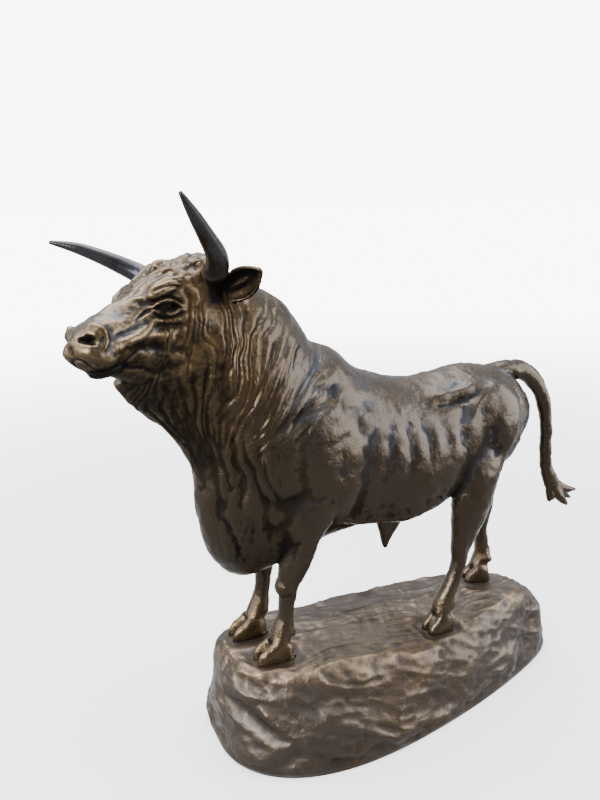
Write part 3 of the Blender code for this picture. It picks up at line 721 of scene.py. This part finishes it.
def carved(mesh):
    """The fused bull with its strokes, dents and coat pressed in along the normals."""
    places, normals, _ = mesh_arrays(mesh)
    points, h = figure_points(places)
    above = 1 - ramp(np.abs(h[:, 1]), 60, 64)
    on_head = ramp(h[:, 0], 8, 20) * above
    flank = np.column_stack([points[:, 0], np.zeros(len(points)), points[:, 2]])
    strokes = [([(x, 0, z) for x, z in line], width, depth) for line, width, depth in BODY_STROKES]
    push = stroked(flank, strokes, (1, 0, 1)) * np.clip(np.abs(normals[:, 1]) * 2.2 - 0.2, 0, 1)
    push *= 1 - ramp(h[:, 0], 0, 14) * ramp(h[:, 2], -60, -50)
    weights = np.array([1.0, 0.5, 1.0])
    mirrored = folded(h)
    push += stroked(mirrored * weights, HEAD_STROKES, weights) * on_head
    push += eye_depth(mirrored) * on_head
    for centre, radii, depth in HEAD_DENTS:
        gap = (((mirrored - centre) / radii) ** 2).sum(axis=1)
        push += depth * np.exp(-gap) * on_head
    horned = ramp(np.abs(h[:, 1]), 24, 32) * ramp(h[:, 2], -4, 6)
    push += coat(points, normals) * ramp(points[:, 2], 0, 14) * (1 - 0.92 * horned)
    places -= normals * (push * UNIT)[:, None]
    mesh.vertices.foreach_set("co", places.ravel())
    mesh.update()
    return mesh


class Wire:
    """A shader socket that takes part in Python arithmetic by adding Math nodes."""

    def __init__(self, nodes, socket):
        self.nodes, self.socket = nodes, socket

    def _math(self, operation, first, second):
        return self.nodes.add("ShaderNodeMath", {"operation": operation}, {0: first, 1: second})

    def __add__(self, other):
        return self._math("ADD", self, other)

    def __sub__(self, other):
        return self._math("SUBTRACT", self, other)

    def __mul__(self, other):
        return self._math("MULTIPLY", self, other)

    def __rsub__(self, other):
        return self._math("SUBTRACT", other, self)

    __radd__ = __add__
    __rmul__ = __mul__


class Nodes:
    """The node tree of a material or world, and the sockets of its closing node."""

    def __init__(self, owner, closing):
        owner.use_nodes = True
        self.tree = owner.node_tree
        self.closing = self.tree.nodes[closing].inputs

    def add(self, kind, settings=None, inputs=None, out=0):
        """One node: type, settings, values or wires of its sockets, and the output that is read."""
        node = self.tree.nodes.new(kind)
        for key, value in (settings or {}).items():
            setattr(node, key, value)
        self.feed(node.inputs, inputs or {})
        return Wire(self, node.outputs[out])

    def feed(self, sockets, inputs):
        """A wire into each named socket, or a value set on it."""
        for key, value in inputs.items():
            if isinstance(value, Wire):
                self.tree.links.new(value.socket, sockets[key])
            else:
                sockets[key].default_value = value

    def parts(self, vector):
        """The three numbers of a vector."""
        first = self.add("ShaderNodeSeparateXYZ", {}, {0: vector})
        return [Wire(self, socket) for socket in first.socket.node.outputs]

    def noise(self, scale, detail=3.0, rough=0.5):
        """Cloudy noise from 0 to 1 in the object's own coordinates."""
        where = self.add("ShaderNodeTexCoord", out="Object")
        return self.add("ShaderNodeTexNoise", {}, {"Vector": where, "Scale": scale, "Detail": detail,
                                                   "Roughness": rough}, "Fac")

    def attribute(self, name):
        """A number that the mesh carries for each vertex."""
        return self.add("ShaderNodeAttribute", {"attribute_name": name}, out="Fac")

    def step(self, value, low, high, top=1.0):
        """0 at low, a top value at high and smooth between."""
        return self.add("ShaderNodeMapRange", {"interpolation_type": "SMOOTHSTEP"},
                        {"Value": value, "From Min": low, "From Max": high, "To Max": top}, "Result")

    def blend(self, share, first, second):
        """Two colours mixed by a share from 0 to 1."""
        return self.add("ShaderNodeMix", {"data_type": "RGBA"}, {0: share, 6: first, 7: second}, 2)


def rgba(colour):
    """A colour with full alpha."""
    return (*colour, 1.0)


def bronze(name, looks):
    """Patinated bronze: dark wax in the hollows, deepened by painted shade there and where the mesh
    marks shade; brown skin; a grey tone with painted sheen; gold where hands have rubbed.
    """
    material = bpy.data.materials.new(name)
    nodes = Nodes(material, "Principled BSDF")
    relief, rubbed, warm, grey_and_painted_sheen, painted_shade, smooth = (
        nodes.attribute(name) for name in ("relief", "rubbed", "warm", "grey_and_painted_sheen", "painted_shade", "smooth"))
    middle, fine = nodes.noise(70, 4, 0.6), nodes.noise(420, 3, 0.6)
    # Hollow mask: wax in the hollows, and painted shade where the relief sinks deep and where the
    # painted-shade attribute is high
    hollow_wax_and_shade = nodes.step(relief * 0.8 + middle * 0.10 - painted_shade * 1.25, 0.10, -1.30)
    edge = nodes.step(relief + (middle - 0.5) * 0.5, 0.35, 1.1)
    gold = rubbed * nodes.step(relief + middle * 0.9 + fine * 0.4, 0.28, 1.20)
    skin = rgba(looks.dark)
    for share, colour in (
            (nodes.step(nodes.noise(16), 0.35, 0.68), looks.brown),
            (warm * nodes.step(middle, 0.15, 0.80), looks.amber),
            # Grey tone and painted sheen, mottled by noise: on the bull a grey that stands for light
            # reflected by upper faces
            (grey_and_painted_sheen * nodes.step(nodes.noise(38, 5, 0.65), 0.30, 0.60), looks.grey_and_painted_sheen),
            (edge * 0.5, looks.brown),
            (gold, looks.gold),
            # Wax in the hollows and painted shade, darkest where the painted-shade attribute is high
            (hollow_wax_and_shade * (nodes.step(painted_shade, 0.9, 1.5) * 0.55 + 0.40), looks.hollow_wax_and_shade),
            (nodes.step(nodes.noise(900, 2, 0.7), 0.70, 0.80) * 0.35, looks.speck)):
        skin = nodes.blend(share, skin, rgba(colour))
    grain = nodes.noise(150, 4, 0.6) * 0.9 + middle * 0.6 + fine * 0.3 + nodes.noise(1400, 2) * 0.12
    bump = nodes.add("ShaderNodeBump", {}, {"Height": grain * (1 - smooth * 0.9), "Strength": 0.8,
                                            "Distance": 0.0011}, "Normal")
    nodes.feed(nodes.closing, {
        "Base Color": skin,
        "Metallic": (1 - hollow_wax_and_shade * 0.5) * 0.78 + gold * 0.2,
        "Roughness": middle * 0.16 + hollow_wax_and_shade * 0.34 - edge * 0.05 + looks.roughness,
        "Coat Weight": (1 - hollow_wax_and_shade) * looks.wax,
        "Coat Roughness": 0.20,
        "Specular IOR Level": 0.15,
        "Normal": bump})
    return material


def tint(name, description, default):
    """A colour that a user may change."""
    return bpy.props.FloatVectorProperty(name=name, description=description, default=default,
                                         subtype="COLOR", size=3, min=0, max=1)


def amount(name, description, default, **limits):
    """A number that a user may change."""
    return bpy.props.FloatProperty(name=name, description=description, default=default, **limits)


def fraction(name, description, default):
    """A share from 0 to 1 that a user may change."""
    return amount(name, description, default, subtype="FACTOR", min=0, max=1)


def whole(name, description, default):
    """A count that a user may change."""
    return bpy.props.IntProperty(name=name, description=description, default=default, min=3)


class BullLooks(bpy.types.PropertyGroup):
    """Colours and finish of the bull's bronze, and how finely it is made."""
    dark: tint("Dark skin", "Dark patina", (0.009, 0.0078, 0.0070))
    brown: tint("Brown skin", "Brown patina", (0.040, 0.0285, 0.0190))
    # Painted sheen: a grey that stands for light reflected by the upper faces and the face; the horns
    # take it too
    grey_and_painted_sheen: tint("Cool bloom", "Grey bloom of wax on upper faces", (0.064, 0.067, 0.079))
    amber: tint("Amber", "Warm patina on neck and cheek", (0.085, 0.048, 0.016))
    gold: tint("Rubbed gold", "Bare metal where it is rubbed", (0.22, 0.15, 0.080))
    # Colour of the wax in the hollows, and of the painted shade there and in shaded places
    hollow_wax_and_shade: tint("Hollows", "Wax and dirt in the hollows", (0.0025, 0.0022, 0.0020))
    speck: tint("Specks", "Pale specks in the patina", (0.09, 0.075, 0.06))
    roughness: fraction("Roughness", "Roughness of the skin", 0.22)
    wax: fraction("Wax", "Weight of the clear wax coat", 0.38)
    voxel: amount("Voxel", "Fineness of the fused skin", 0.0008, unit="LENGTH")
    triangles: whole("Triangles", "Triangles of the finished bull", 192000)


class BaseLooks(bpy.types.PropertyGroup):
    """Colours and finish of the base's bronze, and how finely it is made."""
    dark: tint("Dark skin", "Dark patina", (0.040, 0.029, 0.025))
    brown: tint("Brown skin", "Brown patina", (0.105, 0.080, 0.060))
    # Grey tone of the base, with painted sheen that makes it lighter towards the rear
    grey_and_painted_sheen: tint("Cool bloom", "Grey bloom of wax", (0.105, 0.096, 0.098))
    amber: tint("Amber", "Warm patina", (0.140, 0.090, 0.042))
    gold: tint("Rubbed gold", "Bare metal where it is rubbed", (0.24, 0.175, 0.110))
    # Colour of the wax in the hollows, and of the painted shade there and near the foot of the wall
    hollow_wax_and_shade: tint("Hollows", "Wax and dirt in the hollows", (0.008, 0.005, 0.006))
    speck: tint("Specks", "Pale specks in the patina", (0.22, 0.17, 0.14))
    roughness: fraction("Roughness", "Roughness of the skin", 0.31)
    wax: fraction("Wax", "Weight of the clear wax coat", 0.36)
    around: whole("Around", "Points round each ring", 420)
    side_rings: whole("Side rings", "Rings up the wall", 90)
    top_rings: whole("Top rings", "Rings on the top", 110)


class StageLooks(bpy.types.PropertyGroup):
    """Camera, floor and light."""
    camera_place: bpy.props.FloatVectorProperty(
        name="Camera", description="Where the camera stands", size=3,
        default=(-0.32139, -0.52831, 0.44297), subtype="XYZ", unit="LENGTH")
    yaw: amount("Yaw", "Camera's turn about the vertical, degrees", -23.75)
    pitch: amount("Pitch", "Camera's look downwards, degrees", 14.97)
    roll: amount("Roll", "Camera's roll, degrees", -1.65)
    lens: amount("Lens", "Focal length, mm on a 36 mm side", 34.07)
    floor_colour: tint("Floor", "Floor's colour", (0.85, 0.85, 0.85))
    sky: amount("Sky", "Light from above and behind", 0.7, min=0)
    fill: amount("Fill", "Light from the camera's side", 0.17, min=0)
    paper: amount("Backdrop", "Brightness of the plain backdrop", 9.0, min=0)
    key: amount("Key", "Power of the overhead light", 40, unit="POWER")
    strip: amount("Strips", "Power of the lights on the camera's side", 7, unit="POWER")
    rim: amount("Window", "Power of the light beside the head", 24, unit="POWER")


def fused(skins, voxel):
    """The skins as one closed skin, with soft joins between the body's masses.

    Head, tail and lower legs keep their crisp joins.
    """
    placed = [(verts * UNIT + FIGURE_PLACE, quads, fans) for verts, quads, fans in skins]
    mesh = modified(new_mesh("forms", placed), ("REMESH", {"mode": "VOXEL", "voxel_size": voxel}),
                    ("SMOOTH", {"factor": 0.5, "iterations": 5}))
    points, h = figure_points(mesh_arrays(mesh)[0])
    body = ramp(points[:, 2], 92, 118) * (1 - ramp(points[:, 0], 94, 106))
    body *= 1 - ramp(h[:, 0], -45, -28) * ramp(h[:, 2], -85, -65)
    soften = ("SMOOTH", {"factor": 0.5, "iterations": 50, "vertex_group": GROUP})
    return modified(mesh, soften, weights=body)


def thinned(mesh, triangles):
    """The carved skin brought down to a number of triangles, closest on the head."""
    mesh.calc_loop_triangles()
    ratio = min(1.0, triangles / len(mesh.loop_triangles))
    _, h = figure_points(mesh_arrays(mesh)[0])
    plain = np.clip(1.0 - 0.75 * ramp(h[:, 0], -25, 5) * ramp(h[:, 2], -75, -60), 0, 1)
    return modified(mesh, ("SMOOTH", {"factor": 0.35, "iterations": 1}),
                    ("DECIMATE", {"ratio": ratio, "vertex_group": GROUP, "vertex_group_factor": 1.0}),
                    weights=plain)


def keep_largest(mesh):
    """Drop bubbles: labels sink along the edges until each part of the mesh has one."""
    _, _, edges = mesh_arrays(mesh)
    label = np.arange(len(mesh.vertices))
    while True:
        low = np.minimum(label[edges[:, 0]], label[edges[:, 1]])
        lower = label.copy()
        np.minimum.at(lower, label[edges[:, 0]], low)
        np.minimum.at(lower, label[edges[:, 1]], low)
        lower = lower[lower]
        if (lower == label).all():
            break
        label = lower
    stray = np.nonzero(label != np.bincount(label).argmax())[0]
    if len(stray):
        work = bmesh.new()
        work.from_mesh(mesh)
        work.verts.ensure_lookup_table()
        bmesh.ops.delete(work, geom=[work.verts[i] for i in stray.tolist()], context="VERTS")
        work.to_mesh(mesh)
        work.free()
        mesh.update()


def level_soles(mesh):
    """Keep each foot at or above its own sole."""
    places, _, _ = mesh_arrays(mesh)
    for x, y, sole, _, _ in footprints():
        near = np.abs(places[:, :2] - (x, y)).max(axis=1) < FOOT_REACH
        places[near, 2] = np.maximum(places[near, 2], sole)
    mesh.vertices.foreach_set("co", places.ravel())
    mesh.update()


def dress(mesh, scale):
    """The attribute that tells ridges (positive) from hollows (negative)."""
    places, normals, edges = mesh_arrays(mesh)
    close, wide = relief_at(places, normals, edges, 5), relief_at(places, normals, edges, 40)
    put_attribute(mesh, "relief", np.clip((close * 2.6 + wide * 0.28) / scale, -1.5, 1.5))


# Places where shade is painted dark, in the head's frame: eye, nostril, mouth,
# ear and the root of the horn, each with its radii and strength
PAINTED_SHADE_PLACES = [
    ((42, 22, -3.5), (11, 9, 5.6), 1.9),
    ((102, 13, -6), (4, 5, 3), 1.9),
    ((95, 0, -31), (14, 14, 3), 1.9),
    ((-6, 44, -6), (9, 16, 8), 0.7),
    ((2, 26, -8), (9, 9, 12), 1.6),
]


def wear_and_painted_light(mesh):
    """Where the bull's skin is rubbed, smooth and warm, where shade is painted dark and where a grey
    sheen is painted, as numbers from 0 to 1 or 2.
    """
    places, normals, _ = mesh_arrays(mesh)
    points, h = figure_points(places)
    x, z, up = points[:, 0], points[:, 2], normals[:, 2]
    forward, aside, rise = h[:, 0], np.abs(h[:, 1]), h[:, 2]
    horn = ramp(aside, 26, 34) * ramp(rise, -2, 8) * ramp(forward, -14, -4)
    feet = 0.36 * (1 - ramp(z, 14, 46))
    muzzle = ramp(forward, 5, 60) * ramp(rise, -60, -40)
    put_attribute(mesh, "rubbed", np.clip(feet + 0.58 * muzzle + 0.16, 0, 1) * (1 - horn))
    put_attribute(mesh, "smooth", horn)
    warm = ramp(-x, 95, 160) * ramp(z, 150, 230) * (1 - ramp(forward, 30, 60))
    put_attribute(mesh, "warm", np.clip(warm + 0.12, 0, 1) * (1 - horn))
    # Painted shade: darker on faces that turn downwards, on the neck and sides where they do not face
    # up, and in the eye, nostril, mouth, ear and root of the horn
    painted_shade = 0.7 * ramp(-up, -0.15, 0.45) * ramp(z, 60, 90)
    painted_shade += 0.3 * ramp(-x, 90, 150) * (1 - ramp(up, 0.0, 0.5)) * (1 - ramp(forward, 20, 60))
    painted_shade += 0.45 * (1 - ramp(up, -0.1, 0.55)) * ramp(z, 40, 80)
    left_side = folded(h)
    for centre, radii, most in PAINTED_SHADE_PLACES:
        painted_shade += most * np.exp(-(((left_side - centre) / radii) ** 2).sum(axis=1))
    put_attribute(mesh, "painted_shade", np.clip(painted_shade * (1 - horn), 0, 2))
    # Painted sheen: grey on faces that turn upwards from the neck back, on the upturned front of the
    # face, and on the horns
    back = ramp(up, -0.35, 0.60) * ramp(x, -150, -90)
    face = 0.7 * ramp(forward, 46, 62) * ramp(up, -0.25, 0.4) * ramp(rise, -60, -40)
    put_attribute(mesh, "grey_and_painted_sheen", np.maximum(np.maximum(back, face), 0.8 * horn))


class BULL_OT_figure(bpy.types.Operator):
    """Make the cast bull, fused from its forms and then carved"""
    bl_idname = "bronze_bull.figure"
    bl_label = "Bull"

    def execute(self, context):
        looks = context.scene.bull_looks
        skins = [trunk_and_neck(), tube(TAIL, 90, 30)] + tuft() + head() + legs() + muscles()
        for place in FEET.values():
            skins += foot(*place)
        mesh = carved(fused(skins, looks.voxel * (1.0)))
        mesh = thinned(mesh, looks.triangles)
        keep_largest(mesh)
        level_soles(mesh)
        dress(mesh, BULL_RELIEF)
        wear_and_painted_light(mesh)
        add_piece("bull_casting", mesh, bronze("bull_bronze_skin", looks), "bull")
        return {"FINISHED"}


# The base: length and width in metres, and its wall as shares of them: front,
# rear, near and far side, and height as a share of the top's
BASE_LENGTH = 0.351
BASE_WIDTH = 0.154
BASE_PROFILE = [
    (0.98, 0.97, 0.985, 0.985, 0.0),
    (0.99, 0.98, 1.0, 1.0, 0.10),
    (0.98, 0.965, 0.96, 0.96, 0.35),
    (0.965, 0.925, 0.88, 0.89, 0.65),
    (0.945, 0.865, 0.76, 0.80, 0.88),
    (0.905, 0.79, 0.63, 0.68, 1.0),
]

# Forms on the near wall of the rock, drawn in side view as x, z points with
# half-width and depth in units: a positive depth is a recess
ROCK_STROKES = [
    ([(-172, 66), (-160, 73), (-148, 73), (-133, 70), (-118, 70)], 6.0, 2.6),
    ([(-171, 62), (-161, 60), (-155, 58), (-148, 52), (-142, 44), (-134, 38)], 5.0, -2.2),
    ([(-172, 54), (-165, 52), (-156, 45), (-147, 39), (-132, 29)], 4.2, 1.6),
    ([(-170, 42), (-160, 38), (-150, 30), (-138, 24)], 5.0, -1.8),
    ([(-128, 70), (-119, 74), (-108, 73), (-99, 68)], 5.5, -2.0),
    ([(-128, 60), (-118, 57), (-107, 56), (-97, 60)], 4.6, 1.8),
    ([(-176, 30), (-166, 20), (-155, 16), (-142, 24), (-128, 32), (-115, 29), (-104, 25),
      (-90, 17), (-74, 17), (-59, 19), (-40, 14), (-19, 15), (6, 12), (27, 13), (51, 14),
      (78, 20), (110, 24)], 4.6, -1.8),
    ([(-176, 20), (-166, 10), (-152, 7), (-140, 12), (-128, 20), (-115, 18), (-104, 13), (-88, 6),
      (-74, 6), (-58, 7), (-40, 4)], 5.0, 1.6),
    ([(-150, 82), (-113, 81), (-78, 80), (-39, 74), (1, 69), (40, 69), (91, 63),
      (119, 62)], 4.0, -1.3),
    ([(-24, 70), (-36, 56), (-46, 38)], 8.0, 1.4),
    ([(27, 64), (14, 50), (4, 32)], 8.0, 1.4),
    ([(66, 60), (58, 46), (52, 30)], 8.0, 1.3),
    ([(106, 56), (98, 42), (94, 28)], 8.0, 1.2),
    ([(-72, 74), (-66, 60), (-70, 46), (-84, 34)], 8.0, -1.2),
]


def rock_height(x, y):
    """Height of the rock's top: the soles' heights, each weighted by 1 / distance squared."""
    total, weights = 0.0, 0.0
    for foot_x, foot_y, sole, _, _ in footprints():
        weight = 1.0 / ((x - foot_x) ** 2 + (y - foot_y) ** 2 + 0.02 ** 2)
        total = total + weight * (sole + 0.0008)
        weights = weights + weight
    fall = np.clip((x / BASE_LENGTH - 0.36) / 0.14, 0, 1)
    return total / weights - 0.018 * fall ** 1.5


def rock_surface(around, side_rings, top_rings):
    """The base on a grid: angle round a squared oval, rings up the wall and in over the top."""
    angle = np.linspace(0, 2 * np.pi, around, endpoint=False)[None, :]
    wall = through(BASE_PROFILE, side_rings)
    inward = np.linspace(1, 0.02, top_rings)[1:, None]
    top = np.hstack([wall[-1, :4] * inward, np.ones_like(inward)])
    front, rear, near, far, height = (column[:, None] for column in np.vstack([wall, top]).T)
    ahead, beyond = np.cos(angle) < 0, np.sin(angle) > 0
    power = 2 / np.where(ahead & beyond, 3.2, 2.2)
    x = signed_power(np.cos(angle), power) * np.where(ahead, front, rear)
    half = np.where(beyond, 1.0 - 0.08 * x, 0.89 - 0.46 * x) * BASE_WIDTH / 2
    waist = 1 - 0.16 * height * beyond * np.exp(-((x + 0.45) / 0.22) ** 2)
    y = half * waist * signed_power(np.sin(angle), power) * np.where(beyond, far, near)
    x = x * BASE_LENGTH / 2
    points = np.stack([x, y, height * rock_height(x, y)], axis=-1)
    across, along = np.gradient(points, axis=0), np.gradient(points, axis=1)
    normals = np.cross(along, across)
    normals /= np.linalg.norm(normals, axis=-1, keepdims=True) + 1e-12
    return points, normals, np.broadcast_to(height, x.shape)


def rock_swell(points, on_top):
    """How far the rock stands out, in units: broad waves, chunks, ripples and tool marks."""
    flat = points.reshape(-1, 3) / UNIT
    x, y, z = (points[..., k] / UNIT for k in range(3))
    shape = x.shape
    broad = np.sin(0.050 * x + 0.09 * y + 0.6) * np.cos(0.075 * z - 0.03 * x + 1.1)
    warp = cloud(flat, 38, 11)
    slab = flat + 10 * np.column_stack([warp, cloud(flat, 38, 15), cloud(flat, 38, 16)])
    slant = np.column_stack([0.9 * slab[:, 0] - 0.45 * slab[:, 2], slab[:, 1],
                             1.7 * slab[:, 2] + 0.75 * slab[:, 0]])
    chunk = (1 - np.abs(cloud(slant, 34, 12))) ** 2
    crag = (1 - np.abs(cloud(slant, 15, 13))) ** 2
    chip = cloud(slant, 7.5, 14)
    grit = cloud(flat, 3.2, 17)
    near = stroked(flat * (1, 0, 1), [([(a, 0, c) for a, c in line], width, depth)
                                      for line, width, depth in ROCK_STROKES], (1, 0, 1))
    near = (near * (flat[:, 1] < 0)).reshape(shape)
    rough = 2.4 * chunk + 1.1 * crag + 0.55 * chip + 0.22 * grit
    wall = 2.2 * broad - 1.6 + rough.reshape(shape) - near
    run = np.column_stack([flat[:, 0] / 42, flat[:, 1] / 8.5 + 0.8 * warp, flat[:, 0] / 60])
    wave = (1 - np.abs(cloud(run, 1.0, 18))) ** 1.5 + 0.35 * cloud(run * 2.2, 1.0, 19)
    rough = 1.5 * wave + 0.4 * crag + 0.35 * chip + 0.12 * grit
    top = 0.6 * broad - 0.9 + rough.reshape(shape) - 0.5 * near
    return (1 - on_top) * wall + on_top * top


class BULL_OT_base(bpy.types.Operator):
    """Make the cast rocky base as one surface round an oval"""
    bl_idname = "bronze_bull.base"
    bl_label = "Rocky base"

    def execute(self, context):
        looks = context.scene.base_looks
        points, normals, height = rock_surface(looks.around, looks.side_rings, looks.top_rings)
        on_top = np.clip((height - 0.93) / 0.07, 0, 1)
        settled = np.clip(height / 0.15, 0, 1)
        flattened = pad_share(points)
        swell = rock_swell(points, on_top) * settled * (1 - flattened)
        points = points + normals * (swell * UNIT)[..., None]
        points[..., 2] += (pad_height(points) - points[..., 2]) * flattened
        mesh = new_mesh("rock", [skin_over(points)])
        mesh.update()
        dress(mesh, BASE_RELIEF)
        places, _, _ = mesh_arrays(mesh)
        x, y, z = places.T
        edge = np.exp(-((z - 0.078) / 0.009) ** 2) * (y < 0.02) * ramp(-x, -0.17, -0.10)
        put_attribute(mesh, "rubbed", np.clip(edge * 0.8 + 0.12, 0, 1))
        warm = np.exp(-((x + 0.02) / 0.05) ** 2) * (y < 0)
        put_attribute(mesh, "warm", 0.25 + 0.6 * warm)
        # Painted shade, darker towards the foot of the wall
        put_attribute(mesh, "painted_shade", 0.15 + 0.35 * np.clip(1 - z / 0.03, 0, 1))
        # Grey tone all over, with more painted sheen towards the rear
        put_attribute(mesh, "grey_and_painted_sheen", 0.35 + 0.35 * ramp(x, 0.02, 0.12))
        add_piece("rock_casting", mesh, bronze("rock_bronze_skin", looks), "rock_base")
        return {"FINISHED"}


def pad_share(points):
    """1 under each foot and 0 away from it, with a soft round edge."""
    most = 0.0
    for x, y, _, length, turn in footprints():
        spread = 9.0 * UNIT + 0.4 * length * np.sin(np.radians(turn))
        dx = np.abs(points[..., 0] - x) - 0.44 * length
        dy = np.abs(points[..., 1] - y) - spread
        gap = np.hypot(np.maximum(dx, 0), np.maximum(dy, 0))
        most = np.maximum(most, 1 - ramp(gap, 0.0035, 0.011))
    return most * (points[..., 2] > 0.05)


def pad_height(points):
    """Height of the pad under the nearest foot, a small gap below its sole."""
    feet = np.array(list(footprints()))
    gaps = [np.hypot(points[..., 0] - x, points[..., 1] - y) for x, y in feet[:, :2]]
    return feet[np.argmin(gaps, axis=0), 2] - SOLE_GAP


def soft_room(looks):
    """Light all round: bright above and behind, dim at the camera's side, some from below."""
    world = bpy.data.worlds.new("soft_room")
    nodes = Nodes(world, "Background")
    x, y, z = nodes.parts(nodes.add("ShaderNodeTexCoord", out="Generated"))
    turn = np.radians(looks.yaw)
    behind = x * float(-np.sin(turn)) + y * float(np.cos(turn))
    glow = nodes.step(z, 0.30, 0.85, looks.sky) + nodes.step(behind, 0.1, 0.75, looks.sky * 0.8)
    glow = glow + nodes.step(z * -1.0, 0.02, 0.45, looks.fill * 2.0) + looks.fill
    seen = nodes.add("ShaderNodeLightPath", out="Is Camera Ray")
    nodes.feed(nodes.closing, {"Strength": glow * (1 - seen) + seen * looks.paper,
                               "Color": (0.95, 0.97, 1.0, 1.0)})
    return world


def pale_paper(looks):
    """The floor's paper: lit near the object, and as bright as the backdrop far from it."""
    paper = bpy.data.materials.new("pale_paper")
    nodes = Nodes(paper, "Principled BSDF")
    where = nodes.add("ShaderNodeTexCoord", out="Object")
    away = nodes.add("ShaderNodeVectorMath", {"operation": "LENGTH"}, {0: where}, "Value")
    far = nodes.step(away, 0.35, 2.4)
    nodes.feed(nodes.closing, {
        "Base Color": nodes.blend(far, rgba(looks.floor_colour), rgba((0.0, 0.0, 0.0))),
        "Emission Color": nodes.blend(far, rgba((0.14, 0.14, 0.14)), rgba((1.0, 1.0, 1.0))),
        "Emission Strength": looks.paper,
        "Roughness": 1.0,
        "Specular IOR Level": 0.0})
    return paper


# Soft square lights: name, the power that it takes and its share of it, place,
# target, size and colour
LAMPS = [
    ("overhead", "key", 1.0, (-0.05, 0.25, 1.45), (0.0, 0.0, 0.25), 1.5, (0.96, 0.98, 1.0)),
    ("window", "rim", 1.0, (-1.5, 0.1, 0.75), (-0.1, 0.0, 0.25), 1.6, (0.95, 0.98, 1.0)),
    ("left_strip", "strip", 1.7, (-0.95, -0.60, 0.60), (-0.1, 0.0, 0.25), 0.60, (1.0, 1.0, 1.0)),
    ("right_strip", "strip", 0.2, (0.60, -1.00, 0.62), (0.0, 0.0, 0.25), 0.55, (0.96, 0.98, 1.0)),
    ("face_strip", "strip", 2.6, (1.05, -0.55, 0.55), (-0.2, -0.05, 0.35), 1.15, (1.0, 0.99, 0.97)),
]
FLOOR_RADIUS = 40


def linked(context, name, data, axes=None, place=(0, 0, 0)):
    """An object in the scene, turned so that its own axes are three given ones, at a place."""
    obj = bpy.data.objects.new(name, data)
    context.collection.objects.link(obj)
    if axes is not None:
        turned = Matrix(np.column_stack(axes).tolist()).to_4x4()
        obj.matrix_world = Matrix.Translation(place) @ turned
    return obj


class BULL_OT_stage(bpy.types.Operator):
    """Make the pale floor, the soft lights and the camera"""
    bl_idname = "bronze_bull.stage"
    bl_label = "Stage"

    def execute(self, context):
        looks = context.scene.stage_looks
        turn = np.linspace(0, 2 * np.pi, 96, endpoint=False)
        rim = FLOOR_RADIUS * np.stack([np.cos(turn), np.sin(turn), 0 * turn], axis=1)
        mesh = bpy.data.meshes.new("floor")
        mesh.from_pydata(rim.tolist(), [], [list(range(len(rim)))])
        mesh.materials.append(pale_paper(looks))
        floor = linked(context, "floor", mesh)
        floor.visible_diffuse = floor.visible_glossy = False
        context.scene.world = soft_room(looks)
        for name, source, part, place, target, size, colour in LAMPS:
            energy = getattr(looks, source) * part
            self.lamp(context, name, energy, place, target, size, colour)
        self.camera(context, looks)
        return {"FINISHED"}

    def lamp(self, context, name, energy, place, target, size, colour):
        """A square soft light that looks from its place at a target."""
        data = bpy.data.lights.new(name, "AREA")
        data.energy, data.size, data.color = energy, size, colour
        away = unit(np.asarray(place, float) - np.asarray(target, float))
        side = unit(np.cross((0.0, 0.0, 1.0), away))
        axes = (side, np.cross(away, side), away)
        linked(context, name, data, axes, place).visible_camera = False

    def camera(self, context, looks):
        """The camera: it looks along its yaw and pitch, and leans by its roll."""
        a, e, r = np.radians([looks.yaw, looks.pitch, looks.roll])
        back = np.array([np.sin(a) * np.cos(e), -np.cos(a) * np.cos(e), np.sin(e)])
        right = np.array([np.cos(a), np.sin(a), 0.0])
        up = np.cross(back, right)
        axes = (right * np.cos(r) + up * np.sin(r), up * np.cos(r) - right * np.sin(r), back)
        data = bpy.data.cameras.new("camera")
        data.lens, data.sensor_width, data.sensor_fit = looks.lens, 36.0, "AUTO"
        context.scene.camera = linked(context, "camera", data, axes, looks.camera_place)


class BULL_PT_panel(bpy.types.Panel):
    """The pieces and their values in the sidebar"""
    bl_idname = "BULL_PT_panel"
    bl_label = "Bronze Bull"
    bl_space_type = "VIEW_3D"
    bl_region_type = "UI"
    bl_category = "Bronze Bull"

    def draw(self, context):
        for group, operator in (("bull_looks", BULL_OT_figure), ("base_looks", BULL_OT_base),
                                ("stage_looks", BULL_OT_stage)):
            box = self.layout.box()
            box.operator(operator.bl_idname)
            looks = getattr(context.scene, group)
            for name in looks.__annotations__:
                box.prop(looks, name)


CLASSES = (BullLooks, BaseLooks, StageLooks, BULL_OT_figure, BULL_OT_base, BULL_OT_stage,
           BULL_PT_panel)


def register():
    """Make the classes and the scene's values known."""
    for cls in CLASSES:
        bpy.utils.register_class(cls)
    bpy.types.Scene.bull_looks = bpy.props.PointerProperty(type=BullLooks)
    bpy.types.Scene.base_looks = bpy.props.PointerProperty(type=BaseLooks)
    bpy.types.Scene.stage_looks = bpy.props.PointerProperty(type=StageLooks)


def unregister():
    """Take them away again."""
    del bpy.types.Scene.bull_looks, bpy.types.Scene.base_looks, bpy.types.Scene.stage_looks
    for cls in reversed(CLASSES):
        bpy.utils.unregister_class(cls)


def main():
    """Make every piece in order."""
    register()
    bpy.ops.bronze_bull.figure()
    bpy.ops.bronze_bull.base()
    bpy.ops.bronze_bull.stage()


if __name__ == "__main__":
    main()
